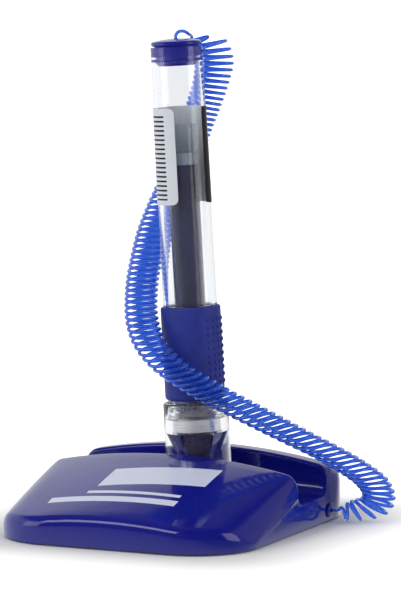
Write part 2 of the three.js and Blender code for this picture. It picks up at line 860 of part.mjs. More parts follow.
// The least gap of the tube to itself, measured between points half a curl or more apart
function leastGap(points, radius) {
  const apart = 5;
  const dense = [];
  points.slice(0, -1).forEach((point, i) => {
    for (let k = 0; k < 4; k += 1) {
      dense.push(point.clone().lerp(points[i + 1], k / 4));
    }
  });
  let least = Infinity;
  for (let i = 0; i < dense.length; i += 1) {
    for (let j = i + apart * 4; j < dense.length; j += 1) {
      least = Math.min(least, dense[i].distanceTo(dense[j]));
    }
  }
  return least - 2 * radius;
}

function curlyCord() {
  const { points, curls } = cordMiddleLine();
  const length = points.slice(1).reduce((sum, point, i) => sum + point.distanceTo(points[i]), 0);
  console.log(`curly cord: ${curls.toFixed(1)} curls, ${points.length} points, `
    + `length ${length.toFixed(0)} mm, least gap ${leastGap(points, cordRadius).toFixed(2)} mm`);
  return sweepTube(points, cordRadius);
}

function cordGrommet() {
  const hole = cordRadius + fitGap;
  const flangeFoot = baseWidth / 2 + fitGap / 3;
  return revolve([
    [hole, cordEndX + fitGap],
    [grommetRadius, cordEndX + fitGap],
    [grommetRadius, flangeFoot],
    [grommetFlangeRadius, flangeFoot],
    [grommetFlangeRadius, exitFace - 0.2],
    [grommetFlangeRadius - 0.3, exitFace],
    [hole, exitFace],
  ], 14).rotateY(90 * degrees).translate(0, cordExitY, cordExitHeight);
}

function cordClamp() {
  const near = cordEndX - fitGap;
  return rod(clampRadius, near - clampLength, near, 14).rotateY(90 * degrees)
    .translate(0, cordExitY, cordExitHeight);
}

// Materials

const material = (color, roughness, metalness = 0) =>
  new THREE.MeshStandardMaterial({ color, roughness, metalness });
const blueGloss = material(0x1a1a8c, 0.15);
const blackPlastic = material(0x202024, 0.6);
const blueRubber = material(0x243090, 0.8);
const steel = material(0x9a9ca0, 0.35, 1);
const zincSteel = material(0xb8babd, 0.3, 1);
const rubber = material(0x1c1c1e, 0.9);
const clearPlastic = material(0xeef2f6, 0.05);
const bluePlastic = material(0x2222a8, 0.25);
const cordBlue = material(0x3050e0, 0.2);
const ink = material(0x1a1c40, 0.4);
const follower = material(0xc8ccb0, 0.3);
const paper = material(0xd7dce4, 0.5);

const counterPen = new THREE.Group();

function add(parent, name, geometry, finish, x = 0, y = 0) {
  const mesh = new THREE.Mesh(geometry, finish);
  mesh.name = name;
  mesh.position.set(x, y, 0);
  parent.add(mesh);
}

const base = new THREE.Group();
counterPen.add(base);
add(base, "base_shell", baseShell(), blueGloss);
add(base, "bottom_cover", bottomCover(), blackPlastic);
add(base, "steel_weight", steelWeight(), steel);
footPlaces.forEach(([x, y], i) => add(base, `foot_${i + 1}`, foot(), rubber, x, y));
screwPlaces.forEach(([x, y], i) =>
  add(base, `cover_screw_${i + 1}`, coverScrew(), zincSteel, x, y));
add(base, "cord_grommet", cordGrommet(), bluePlastic);
add(base, "cord_clamp", cordClamp(), zincSteel);
add(base, "curly_cord", curlyCord(), cordBlue);

// The cup and the pen share one leaning axis
const leaning = new THREE.Group();
leaning.position.set(penFootX, troughCentreY, penFootHeight);
leaning.rotation.y = -penLean * degrees;
counterPen.add(leaning);
add(leaning, "pen_cup", penCup(), clearPlastic);
add(leaning, "cup_screw", cupScrew(), zincSteel);

const pen = new THREE.Group();
leaning.add(pen);
add(pen, "pen_barrel", penBarrel(), clearPlastic);
add(pen, "rubber_grip", rubberGrip(), blueRubber);
add(pen, "nose_cone", noseCone(), bluePlastic);
add(pen, "nose_collar", noseCollar(), steel);
add(pen, "writing_tip", writingTip(), zincSteel);
add(pen, "tip_ball", tipBall(), steel);
add(pen, "refill_holder", refillHolder(), clearPlastic);
add(pen, "refill_tube", refillTube(), clearPlastic);
add(pen, "ink_column", rod(inkRadius, holderTop, inkEnd), ink);
add(pen, "ink_follower", rod(inkRadius, inkEnd + fitGap, inkEnd + fitGap + followerLength),
  follower);
add(pen, "end_plug", endPlug(), bluePlastic);
add(pen, "cord_stop", cordStop(), bluePlastic);
add(pen, "barrel_label", barrelLabel(), paper);

export default counterPen;
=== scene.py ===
# Counter pen: a ball pen on a curly cord, in a clear cup on a weighted base. Shapes are drawn in
# millimetres and become metres when a piece is finished.

import math

import bmesh
import bpy
from mathutils import Matrix, Vector


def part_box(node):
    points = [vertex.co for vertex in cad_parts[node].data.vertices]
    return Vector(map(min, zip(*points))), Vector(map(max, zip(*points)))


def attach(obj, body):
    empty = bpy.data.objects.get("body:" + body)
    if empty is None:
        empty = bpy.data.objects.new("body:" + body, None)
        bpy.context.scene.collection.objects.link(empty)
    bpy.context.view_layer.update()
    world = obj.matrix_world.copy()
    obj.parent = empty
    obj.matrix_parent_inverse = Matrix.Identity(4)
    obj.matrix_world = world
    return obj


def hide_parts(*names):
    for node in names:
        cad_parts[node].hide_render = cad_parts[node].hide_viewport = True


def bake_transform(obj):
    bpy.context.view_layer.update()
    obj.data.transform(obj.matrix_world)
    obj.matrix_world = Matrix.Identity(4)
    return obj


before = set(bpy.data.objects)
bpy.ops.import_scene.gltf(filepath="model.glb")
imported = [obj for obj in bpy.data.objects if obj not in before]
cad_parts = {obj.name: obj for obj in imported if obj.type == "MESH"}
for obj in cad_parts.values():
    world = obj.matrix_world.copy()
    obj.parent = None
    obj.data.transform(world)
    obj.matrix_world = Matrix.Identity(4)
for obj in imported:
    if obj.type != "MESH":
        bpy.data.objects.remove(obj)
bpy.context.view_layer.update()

bl_info = {
    "name": "Counter Pen",
    "version": (1, 0, 0),
    "blender": (4, 5, 0),
    "location": "View3D > Sidebar > Counter Pen",
    "description": "Makes a counter pen on a curly cord, piece by piece, around its packed frame",
    "category": "Add Mesh",
}

MM = 0.001
PEN_FOOT = Vector((3.07, 10.3, 9.0))
PEN_LEAN = math.radians(3.41)
PEN_PLACE = Matrix.Translation(PEN_FOOT) @ Matrix.Rotation(-PEN_LEAN, 4, "Y")
UP = Vector((0, 0, 1))
TURN_STEPS = 128
SOFTENED_FROM = math.radians(25)

# Stage. Each pair says where a brightness starts and stops changing: on the studio as the share of
# a direction that points to that side, from -1 to 1, and on the floor in metres
CAMERA_REACH = 20
LAMP_AIM = Vector((0, 0.01, 0.05))
BACKDROP_SIDE = (-0.42, 0.91, 0)
STUDIO_CEILING = (math.sin(math.radians(34)), math.sin(math.radians(44)))
STUDIO_BACK = (-0.5, 0.1)
STUDIO_RIGHT = (0.0, 0.3)
STUDIO_RIGHT_SHARE = 0.35
STUDIO_BACK_IN_GLASS = (-0.1, 0.3)
FLOOR_HALF = 8
FLOOR_COLOUR = (0.82, 0.82, 0.82)
FLOOR_WHITE_STRENGTH = 2.0
FLOOR_WHITE = (0.013, 0.05)
FLOOR_INNER_HALVES = (0.026, 0.03375)
FLOOR_BACK = (-0.1, -0.04)
FLOOR_RIGHT = (0.034, 0.05)
FLOOR_RIGHT_SHARE = 0.3
FLOOR_BACK_IN_GLASS = (-0.35, -0.1)
FLOOR_FRONT_IN_GLASS = 0.25

# Along the pen: levels from its foot point and radii in millimetres, angles in degrees
BARREL_START = 19.5
BARREL_TOP = 119.0
BARREL_FOOT_RADIUS = 7.45
BARREL_LOWER_RADIUS = 7.34
BARREL_UPPER_RADIUS = 6.95
BARREL_BORE = 5.95
GRIP_START = 24.2
GRIP_END = 49.3
GRIP_RADIUS = 8.08
GRIP_SEAT = 6.65
GRIP_GAP = 0.02
LABEL_START = 77.0
LABEL_END = 102.8
LABEL_FIRST = -11.0
LABEL_LAST = 282.0
LABEL_GAP = 0.14
LABEL_THICKNESS = 0.08
LABEL_CORNER = 1.6
LABEL_CUTS = 140
LABEL_FLAT_RADIUS = 7
REFILL_RADIUS = 4.15
REFILL_BORE = 3.75
REFILL_START = 23.4
REFILL_END = 98.2
INK_START = 27.4
INK_END = 87.4
FOLLOWER_TOP = 90.6
WALL_OVERLAP = 0.02

# Studs of the grip, in millimetres and degrees
STUD_ROWS = 10
STUD_COLUMNS = 10
FIRST_STUD_ABOVE_START = 4.6
STUD_SPACING = 1.88
FIRST_STUD_ANGLE = -31
STUD_TURN = 13.5
STUD_HALF_WIDTH = 0.55
STUD_HALF_LENGTH = 0.62
STUD_SINK = 0.03

# Base: sizes in millimetres, then the steps of its sections and the angles of its end stations
BASE_WIDTH = 72.0
BASE_DEPTH = 87.5
BASE_CORNER = 18.0
BASE_WALL = 2.0
SHELL_LIFT = 0.6
RIM_BEVEL = 0.1
RIDGE_HEIGHT = 19.8
SLOPE = math.radians(14.7)
SLOPE_BULGE = 0.7
LIP = 1.8
CROWN_DROP = 3.8
FRONT_SHOULDER = 8.0
RIDGE_SHOULDER = 3.0
TROUGH_FRONT = 0.7
TROUGH_REAR = 19.9
TROUGH_FLOOR = 7.6
TROUGH_CORNER = 6.0
REAR_TOP = 19.2
REAR_FLAT = 5.2
REAR_FLAT_SHARE = 0.4
REAR_SLOPE = math.radians(18)
FRONT_EDGE = 3.0
REAR_LIP = 1.0
REAR_EDGE = 5.0
LEAST_SHOULDER = 0.5
MOST_OF_SIDE = 0.46
CORD_ENTRY = (0, 22, 3.3)
ARC_STEPS = 10
SLOPE_STEPS = 8
STRAIGHT_STATIONS = 10
CORNER_STATIONS = (8, 16, 24, 32, 40, 47, 54, 60, 65, 70, 74, 78, 81, 84, 87, 90)

# Plain print on the slope, in metres: the level that it stays above, and for each area its slant,
# left and right, front and rear
PRINT_LEVEL = 0.006
PRINT_AREAS = (
    (-0.19, -0.0108, 0.0179, -0.0224, -0.0110),
    (-0.06, -0.0118, 0.0144, -0.0283, -0.0268),
    (-0.06, -0.0206, 0.0150, -0.0332, -0.0302),
)
PRINT_ROUGHER = 0.22

# Plain print on the label and a black band, as shares of the film: stripes in its full height, how
# thick each is in its spacing, the block that they stand in, and the black band at the other end
LABEL_STRIPES = 21.0
STRIPE_THICKNESS = 0.42
STRIPES_ALONG = (0.66, 0.915)
STRIPES_HIGH = (0.05, 0.93)
BAND_ALONG = (-0.01, 0.15)

# Rings of the cord: the way they face, and the lean that they take up below a level, in metres
RING_HEADING = math.radians(25)
RING_LEAN = math.radians(5)
RING_LEAN_TOP = 0.098
RING_LEAN_FADE = 0.012
ROUTE_STEPS = 400
PLAIN_STEP = 0.0004

# The cord's middle line from the pen to the base: place in metres, tilt of the rings in degrees,
# spacing of the rings in metres and share of the full curl
CORD_ROUTE = [
    ((-0.00398, 0.01030, 0.12739), 30, 0.0016, 0),
    ((-0.00414, 0.01030, 0.12999), 30, 0.0016, 0),
    ((-0.00409, 0.01032, 0.13089), 30, 0.0016, 0),
    ((-0.00359, 0.01078, 0.13169), 30, 0.0016, 0),
    ((-0.00293, 0.01197, 0.13189), 30, 0.0016, 0),
    ((-0.00253, 0.01370, 0.13144), 30, 0.0016, 0),
    ((-0.00278, 0.01568, 0.13084), 30, 0.0016, 0),
    ((-0.00314, 0.01739, 0.13064), 30, 0.0016, 0),
    ((-0.00346, 0.01878, 0.13019), 30, 0.0016, 0),
    ((-0.00335, 0.01949, 0.12909), 27, 0.009, 0),
    ((-0.00021, 0.01986, 0.12939), 20, 0.003, 0.55),
    ((0.00090, 0.02190, 0.12790), 14, 0.002, 1),
    ((0.00210, 0.02250, 0.12540), 5, 0.00175, 1),
    ((0.00240, 0.02260, 0.12220), 0, 0.00165, 1),
    ((0.00160, 0.02250, 0.11920), -4, 0.00158, 1),
    ((0.00050, 0.02270, 0.11620), -6, 0.00155, 1),
    ((-0.00080, 0.02300, 0.11320), -8, 0.0015, 1),
    ((-0.00210, 0.02320, 0.11020), -9, 0.00145, 1),
    ((-0.00330, 0.02320, 0.10740), -9, 0.00146, 1),
    ((-0.00450, 0.02320, 0.10430), -8, 0.00146, 1),
    ((-0.00630, 0.02280, 0.09930), -6, 0.00146, 1),
    ((-0.00820, 0.02180, 0.09430), -3, 0.00146, 1),
    ((-0.01020, 0.02010, 0.08880), 0, 0.00146, 1),
    ((-0.01210, 0.01780, 0.08280), 0, 0.00145, 1),
    ((-0.01300, 0.01490, 0.07760), 0, 0.00143, 1),
    ((-0.01330, 0.01160, 0.07120), 0, 0.00143, 1),
    ((-0.01330, 0.00860, 0.06460), 1, 0.00143, 1),
    ((-0.01250, 0.00600, 0.05930), 2, 0.00143, 1),
    ((-0.01090, 0.00290, 0.05550), 4, 0.00145, 1),
    ((-0.00850, 0.00010, 0.05150), 7, 0.00143, 1),
    ((-0.00490, -0.00240, 0.04770), 10, 0.00149, 1),
    ((-0.00110, -0.00360, 0.04470), 13, 0.00153, 1),
    ((0.00310, -0.00350, 0.04180), 15, 0.00158, 1),
    ((0.00750, -0.00220, 0.03900), 17, 0.00163, 1),
    ((0.01210, 0.00030, 0.03580), 18, 0.00163, 1),
    ((0.01920, 0.00340, 0.03180), 17, 0.00161, 1),
    ((0.02630, 0.00620, 0.02790), 15, 0.0015, 1),
    ((0.03320, 0.00910, 0.02410), 12, 0.00145, 1),
    ((0.03950, 0.01290, 0.02030), 10, 0.00142, 1),
    ((0.04490, 0.01700, 0.01620), 10, 0.00145, 1),
    ((0.04850, 0.02140, 0.01200), 8, 0.0015, 1),
    ((0.04930, 0.02460, 0.00790), -4, 0.0016, 1),
    ((0.04760, 0.02600, 0.00490), -22, 0.00178, 1),
    ((0.04470, 0.02520, 0.00370), -38, 0.002, 0.88),
    ((0.04240, 0.02320, 0.00320), -62, 0.0024, 0.6),
    ((0.04040, 0.02210, 0.00310), -88, 0.0023, 0.5),
    ((0.03900, 0.02200, 0.00330), -90, 0.0060, 0.12),
    ((0.03800, 0.02200, 0.00330), -90, 0.0060, 0),
    ((0.03400, 0.02200, 0.00330), -90, 0.0024, 0),
]


class CounterPenColours(bpy.types.PropertyGroup):
    """Colours of the mouldings, the cord and the print"""

    base: bpy.props.FloatVectorProperty(
        name="Base", description="Glossy moulded base", subtype="COLOR",
        default=(0.006, 0.008, 0.205))
    cord: bpy.props.FloatVectorProperty(
        name="Cord", description="Translucent curly cord", subtype="COLOR",
        default=(0.05, 0.20, 1.0))
    grip: bpy.props.FloatVectorProperty(
        name="Grip", description="Soft rubber grip", subtype="COLOR",
        default=(0.012, 0.024, 0.24))
    plug: bpy.props.FloatVectorProperty(
        name="Plug", description="End plug of the pen and bush of the cord", subtype="COLOR",
        default=(0.010, 0.011, 0.24))
    ink: bpy.props.FloatVectorProperty(
        name="Ink", description="Ink in the refill", subtype="COLOR",
        default=(0.008, 0.010, 0.045))
    label: bpy.props.FloatVectorProperty(
        name="Label", description="Silver-white label film", subtype="COLOR",
        default=(0.62, 0.65, 0.70))
    print_white: bpy.props.FloatVectorProperty(
        name="Print", description="Pale print on the base", subtype="COLOR",
        default=(0.60, 0.64, 0.78))


class CounterPenSizes(bpy.types.PropertyGroup):
    """Sizes that a user would change"""

    cord_radius: bpy.props.FloatProperty(
        name="Cord radius", description="Half the thickness of the cord itself",
        default=0.00046, min=0.0002, max=0.001, precision=6, unit="LENGTH")
    curl_radius: bpy.props.FloatProperty(
        name="Curl radius", description="From the middle of a curl to the middle of the cord",
        default=0.00415, min=0.002, max=0.01, precision=6, unit="LENGTH")
    steps_per_curl: bpy.props.IntProperty(
        name="Steps per curl", description="Points on each curl of the cord",
        default=24, min=8, max=64)
    stud_height: bpy.props.FloatProperty(
        name="Stud height", description="How far the grip's studs stand proud",
        default=0.00035, min=0.0001, max=0.001, precision=6, unit="LENGTH")


class CounterPenStage(bpy.types.PropertyGroup):
    """Camera, lamps and floor"""

    camera_place: bpy.props.FloatVectorProperty(
        name="Camera place", description="Where the camera stands", subtype="TRANSLATION",
        unit="LENGTH", default=(0.486, -1.042, 0.195))
    camera_aim: bpy.props.FloatVectorProperty(
        name="Camera aim", description="The point in the middle of the picture",
        subtype="TRANSLATION", unit="LENGTH", default=(0.0065, 0.0030, 0.0607))
    lens: bpy.props.FloatProperty(
        name="Lens", description="Focal length in millimetres", default=260.0, min=10, max=1000)
    ambient: bpy.props.FloatProperty(
        name="Ambient light", description="Strength of the soft light from all round",
        default=0.66, min=0, max=2)
    ceiling: bpy.props.FloatProperty(
        name="Ceiling", description="How bright the studio's ceiling and front show in gloss",
        default=0.13, min=0, max=1, subtype="FACTOR")
    front: bpy.props.FloatProperty(
        name="Front", description="How bright the floor's front shows in gloss",
        default=0.15, min=0, max=1, subtype="FACTOR")
    glass_front: bpy.props.FloatProperty(
        name="Front in glass", description="How bright the studio's front shows in clear pieces",
        default=0.1, min=0, max=1, subtype="FACTOR")
    key_power: bpy.props.FloatProperty(
        name="Key lamp", description="Power of the large lamp at the front", default=2.8,
        min=0, max=100, unit="POWER")
    strip_power: bpy.props.FloatProperty(
        name="Strip lamps", description="Power of each upright strip lamp", default=1.4,
        min=0, max=100, unit="POWER")
    floor_glow: bpy.props.FloatProperty(
        name="Floor white", description="How much of the far floor the camera sees as plain white",
        default=0.6, min=0, max=1, subtype="FACTOR")


# Materials


class Shading:
    """Adds nodes to the tree of a material or of the world."""

    def __init__(self, tree):
        self.tree = tree

    def node(self, kind, **settings):
        node = self.tree.nodes.new(kind)
        for setting, value in settings.items():
            setattr(node, setting, value)
        return node

    def feed(self, socket, value):
        """Links an output to the socket, or sets the socket to a plain value."""
        if isinstance(value, bpy.types.NodeSocket):
            self.tree.links.new(value, socket)
        else:
            socket.default_value = value

    def math(self, operation, *values):
        node = self.node("ShaderNodeMath", operation=operation)
        for socket, value in zip(node.inputs, values):
            self.feed(socket, value)
        return node.outputs["Value"]

    def span(self, value, low, high, start=0.3, end=0.7):
        """Turns a value from start to end into one from low to high."""
        spread = self.node("ShaderNodeMapRange")
        for socket, amount in (("Value", value), ("From Min", start), ("From Max", end),
                               ("To Min", low), ("To Max", high)):
            self.feed(spread.inputs[socket], amount)
        return spread.outputs["Result"]

    def parts(self, place):
        """X, Y and Z of a place or a direction."""
        split = self.node("ShaderNodeSeparateXYZ")
        self.feed(split.inputs["Vector"], place)
        return split.outputs

    def behind(self, place):
        """How far a place or a direction lies towards the backdrop."""
        product = self.node("ShaderNodeVectorMath", operation="DOT_PRODUCT")
        self.feed(product.inputs[0], place)
        self.feed(product.inputs[1], BACKDROP_SIDE)
        return product.outputs["Value"]

    def rays(self, *kinds):
        """1 for rays of those kinds."""
        path = self.node("ShaderNodeLightPath")
        total = path.outputs[kinds[0]]
        for kind in kinds[1:]:
            total = self.math("MAXIMUM", total, path.outputs[kind])
        return total


class Finish(Shading):
    """A material with one principled shader, and the nodes that vary it over the surface."""

    def __init__(self, name, colour, roughness, **sockets):
        self.material = bpy.data.materials.new(name)
        self.material.use_nodes = True
        self.material.diffuse_color = (*colour, 1)
        super().__init__(self.material.node_tree)
        self.shader = self.tree.nodes["Principled BSDF"]
        self.colour((*colour, 1))
        self.roughness(roughness)
        for socket, value in sockets.items():
            self.feed(self.shader.inputs[socket.replace("_", " ")], value)

    def colour(self, value):
        self.feed(self.shader.inputs["Base Color"], value)

    def roughness(self, value):
        self.feed(self.shader.inputs["Roughness"], value)

    def place(self):
        return self.node("ShaderNodeTexCoord").outputs["Object"]

    def noise(self, scale, detail=2.0, stretch=(1, 1, 1)):
        """Cloudy values from 0 to 1. The scale is in features per metre."""
        mapping = self.node("ShaderNodeMapping")
        self.feed(mapping.inputs["Scale"], stretch)
        self.feed(mapping.inputs["Vector"], self.place())
        texture = self.node("ShaderNodeTexNoise")
        self.feed(texture.inputs["Scale"], scale)
        self.feed(texture.inputs["Detail"], detail)
        self.feed(texture.inputs["Vector"], mapping.outputs["Vector"])
        return texture.outputs["Fac"]

    def within(self, value, low, high):
        """1 where the value lies between low and high, else 0."""
        return self.math("COMPARE", value, (low + high) / 2, (high - low) / 2)

    def bump(self, height, depth):
        """Relief of that depth in metres."""
        bump = self.node("ShaderNodeBump")
        self.feed(bump.inputs["Distance"], depth)
        self.feed(bump.inputs["Height"], height)
        self.feed(self.shader.inputs["Normal"], bump.outputs["Normal"])

    def blend(self, share, first, second):
        """Two colours mixed by a value."""
        mix = self.node("ShaderNodeMix", data_type="RGBA")
        for socket, colour in (("A", first), ("B", second)):
            plain = isinstance(colour, tuple)
            self.feed(mix.inputs[socket], (*colour, 1) if plain else colour)
        self.feed(mix.inputs["Factor"], share)
        return mix.outputs["Result"]

    def cloudy(self, cloud, first, second):
        """A colour that goes from the first to the second with a cloudy value."""
        return self.blend(self.span(cloud, 0, 1), first, second)

    def glow(self, strength):
        emission = self.node("ShaderNodeEmission")
        self.feed(emission.inputs["Strength"], strength)
        return emission.outputs["Emission"]

    def mixed(self, share, first, second):
        """Two shaders mixed by a value."""
        mix = self.node("ShaderNodeMixShader")
        for socket, value in zip(mix.inputs, (share, first, second)):
            self.feed(socket, value)
        return mix.outputs["Shader"]

    def surface(self, shader):
        self.feed(self.tree.nodes["Material Output"].inputs["Surface"], shader)


def shade(colour, factor):
    return tuple(min(channel * factor, 1) for channel in colour)


def colours():
    return bpy.context.scene.counter_pen_colours


def sizes():
    return bpy.context.scene.counter_pen_sizes


def stage_settings():
    return bpy.context.scene.counter_pen_stage


def base_finish(name):
    """Glossy moulded plastic with faint waviness, and the pale print on its slope."""
    blue = tuple(colours().base)
    finish = Finish(name, blue, 0.09, IOR=1.5, Specular_IOR_Level=0.5)
    tint = finish.cloudy(finish.noise(90), shade(blue, 0.92), shade(blue, 1.08))
    x, y, z = finish.parts(finish.place())
    print_area = 0.0
    for slant, left, right, front, rear in PRINT_AREAS:
        row = finish.math("MULTIPLY_ADD", x, slant, y)
        area = finish.math("MULTIPLY", finish.within(x, left, right),
                           finish.within(row, front, rear))
        print_area = finish.math("MAXIMUM", area, print_area)
    marked = finish.math("MULTIPLY", print_area, finish.math("GREATER_THAN", z, PRINT_LEVEL))
    finish.colour(finish.blend(marked, tint, tuple(colours().print_white)))
    finish.roughness(finish.math("MULTIPLY_ADD", marked, PRINT_ROUGHER,
                                 finish.span(finish.noise(420, 3), 0.06, 0.13)))
    finish.bump(finish.noise(240, 1), 0.00002)
    return finish.material


def cord_finish(name):
    """Glossy translucent plastic wire."""
    blue = tuple(colours().cord)
    finish = Finish(name, blue, 0.12, IOR=1.5, Transmission_Weight=0.75)
    finish.colour(finish.cloudy(finish.noise(500), shade(blue, 0.85), shade(blue, 1.12)))
    finish.roughness(finish.span(finish.noise(1500), 0.08, 0.18))
    return finish.material


def grip_finish(name):
    """Soft rubber with a fine matt grain."""
    blue = tuple(colours().grip)
    finish = Finish(name, blue, 0.55, IOR=1.48, Sheen_Weight=0.04, Sheen_Roughness=0.5,
                    Specular_IOR_Level=0.35)
    grain = finish.noise(5200, 3)
    finish.colour(finish.cloudy(finish.noise(260), shade(blue, 0.9), shade(blue, 1.15)))
    finish.roughness(finish.span(grain, 0.48, 0.66))
    finish.bump(grain, 0.00003)
    return finish.material


def plug_finish(name):
    """Glossy blue moulding of the pen's small parts."""
    blue = tuple(colours().plug)
    finish = Finish(name, blue, 0.14, IOR=1.5)
    finish.colour(finish.cloudy(finish.noise(300), shade(blue, 0.88), shade(blue, 1.12)))
    finish.roughness(finish.span(finish.noise(900), 0.1, 0.2))
    return finish.material


def let_light_in(finish):
    """Shadow and diffuse rays pass straight through, so that what stands inside is lit."""
    passed = finish.node("ShaderNodeBsdfTransparent").outputs["BSDF"]
    finish.surface(finish.mixed(finish.rays("Is Shadow Ray", "Is Diffuse Ray"),
                                finish.shader.outputs["BSDF"], passed))


def nose_finish(name):
    """Dark grey-violet on the nose: a painted reflection of the dark blue base, which the metal
    cone mirrors.
    """
    grey = (0.055, 0.050, 0.095)
    finish = Finish(name, grey, 0.25, IOR=1.5)
    finish.colour(finish.cloudy(finish.noise(300), shade(grey, 0.88), shade(grey, 1.12)))
    finish.roughness(finish.span(finish.noise(900), 0.2, 0.32))
    return finish.material


def clear_finish(name):
    """Polished clear plastic."""
    clear = (0.97, 0.985, 1.0)
    finish = Finish(name, clear, 0.02, IOR=1.49, Transmission_Weight=1.0)
    finish.roughness(finish.span(finish.noise(300), 0.0, 0.03))
    finish.bump(finish.noise(140, 1), 0.00001)
    let_light_in(finish)
    return finish.material


def milky_finish(name):
    """Clear to milky plastic of the refill tube."""
    milky = (0.86, 0.90, 0.96)
    finish = Finish(name, milky, 0.08, IOR=1.42, Transmission_Weight=0.98)
    finish.roughness(finish.span(finish.noise(500), 0.04, 0.12))
    let_light_in(finish)
    return finish.material


def ink_finish(name):
    """Wet dark ink, a little uneven."""
    navy = tuple(colours().ink)
    finish = Finish(name, navy, 0.25, IOR=1.4, Specular_IOR_Level=0.3)
    streaks = finish.noise(260, 3, (1, 1, 0.2))
    finish.colour(finish.cloudy(streaks, shade(navy, 0.7), shade(navy, 1.5)))
    return finish.material


def grease_finish(name):
    """Clear grease that follows the ink."""
    grease = (0.60, 0.66, 0.80)
    finish = Finish(name, grease, 0.15, IOR=1.45, Transmission_Weight=0.6)
    finish.roughness(finish.span(finish.noise(1200), 0.1, 0.25))
    return finish.material


def satin_finish(name):
    """Turned metal with rings around the pen's axis."""
    grey = (0.62, 0.62, 0.64)
    finish = Finish(name, grey, 0.3, Metallic=1.0)
    rings = finish.noise(2600, 2, (0.05, 0.05, 1))
    finish.colour(finish.cloudy(rings, shade(grey, 0.8), shade(grey, 1.2)))
    finish.roughness(finish.span(rings, 0.24, 0.42))
    finish.bump(rings, 0.000008)
    return finish.material


def zinc_finish(name):
    """Bright zinc plate on small steel parts."""
    zinc = (0.56, 0.56, 0.58)
    finish = Finish(name, zinc, 0.22, Metallic=1.0)
    finish.colour(finish.cloudy(finish.noise(900), shade(zinc, 0.85), (0.58, 0.56, 0.50)))
    finish.roughness(finish.span(finish.noise(2000), 0.16, 0.34))
    return finish.material


def steel_finish(name):
    """Plain cut plate, lightly oiled."""
    steel = (0.40, 0.40, 0.42)
    finish = Finish(name, steel, 0.35, Metallic=1.0)
    finish.roughness(finish.span(finish.noise(700, 4, (1, 0.1, 1)), 0.28, 0.5))
    finish.colour(finish.cloudy(finish.noise(160), shade(steel, 0.8), shade(steel, 1.1)))
    return finish.material


def black_finish(name):
    """Black plastic with a fine spark-eroded texture."""
    black = (0.018, 0.018, 0.020)
    finish = Finish(name, black, 0.55)
    grain = finish.noise(3800, 2)
    finish.roughness(finish.span(grain, 0.45, 0.65))
    finish.bump(grain, 0.00004)
    return finish.material


def foot_finish(name):
    """Matt black rubber, slightly dusty."""
    black = (0.014, 0.014, 0.015)
    finish = Finish(name, black, 0.85)
    finish.colour(finish.cloudy(finish.noise(700, 4), black, (0.030, 0.030, 0.032)))
    finish.roughness(finish.span(finish.noise(1500), 0.75, 0.92))
    return finish.material


def label_finish(name):
    """Silver-white film with plain stripes near one end and a black band at the other."""
    film = tuple(colours().label)
    finish = Finish(name, film, 0.4, Specular_IOR_Level=0.15)
    flat = finish.node("ShaderNodeUVMap", uv_map="UVMap")
    along, high, _ = finish.parts(flat.outputs["UV"])
    within_spacing = finish.math("FRACT", finish.math("MULTIPLY", high, LABEL_STRIPES))
    stripe = finish.within(within_spacing, 0.0, STRIPE_THICKNESS)
    block = finish.math("MULTIPLY", finish.within(along, *STRIPES_ALONG),
                        finish.within(high, *STRIPES_HIGH))
    bars = finish.math("MULTIPLY", stripe, block)
    band = finish.within(along, *BAND_ALONG)
    paper = finish.cloudy(finish.noise(400), shade(film, 0.96), film)
    # Black over the stripes and over a band at the film's other end.
    marked = finish.math("MAXIMUM", bars, band)
    finish.colour(finish.blend(marked, paper, (0.012, 0.012, 0.014)))
    finish.roughness(finish.span(finish.noise(1200), 0.26, 0.4))
    return finish.material


FINISHES = {
    "moulded_blue": base_finish,
    "cord_plastic": cord_finish,
    "grip_soft_rubber": grip_finish,
    "plug_blue": plug_finish,
    "nose_painted_base_reflection": nose_finish,
    "clear_moulding": clear_finish,
    "refill_milky": milky_finish,
    "ink_wet": ink_finish,
    "grease_clear": grease_finish,
    "satin_metal": satin_finish,
    "bright_zinc": zinc_finish,
    "cut_steel": steel_finish,
    "black_plastic": black_finish,
    "foot_matt_rubber": foot_finish,
    "label_print_film": label_finish,
}


def kept(name):
    """The material of that name, made the first time that it is asked for."""
    return bpy.data.materials.get(name) or FINISHES[name](name)


# Shapes


def turned(profile, closed=True, steps=TURN_STEPS):
    """A turned body about Z. The profile lists (radius, height), and an open one ends on Z."""
    bm = bmesh.new()
    points = [bm.verts.new((radius, 0, height)) for radius, height in profile]
    ends = points[1:] + points[:1] if closed else points[1:]
    edges = [bm.edges.new(pair) for pair in zip(points, ends)]
    bmesh.ops.spin(bm, geom=points + edges, cent=(0, 0, 0), axis=(0, 0, 1), angle=math.tau,
                   steps=steps, use_merge=True)
    bmesh.ops.remove_doubles(bm, verts=bm.verts, dist=1e-4)
    bmesh.ops.recalc_face_normals(bm, faces=bm.faces)
    return bm


def soften(bm, width, segments=2):
    """Rounds every sharp edge between two faces."""
    sharp = [edge for edge in bm.edges
             if len(edge.link_faces) == 2 and edge.calc_face_angle() > SOFTENED_FROM]
    bmesh.ops.bevel(bm, geom=sharp, offset=width, offset_type="OFFSET", segments=segments,
                    profile=0.5, affect="EDGES", clamp_overlap=True, material=-1)
    return bm


def finished(bm, name, body, finish, place=None, replaces=None, crease=20.0):
    """Makes the piece an object in metres that moves with a body, in place of a frame node."""
    if place is not None:
        bmesh.ops.transform(bm, matrix=place, verts=bm.verts)
    bmesh.ops.scale(bm, vec=(MM, MM, MM), verts=bm.verts)
    mesh = bpy.data.meshes.new(name)
    bm.to_mesh(mesh)
    bm.free()
    mesh.polygons.foreach_set("use_smooth", [True] * len(mesh.polygons))
    mesh.set_sharp_from_angle(angle=math.radians(crease))
    mesh.materials.append(kept(finish))
    piece = bpy.data.objects.new(name, mesh)
    bpy.context.scene.collection.objects.link(piece)
    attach(piece, body)
    if replaces:
        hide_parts(replaces)


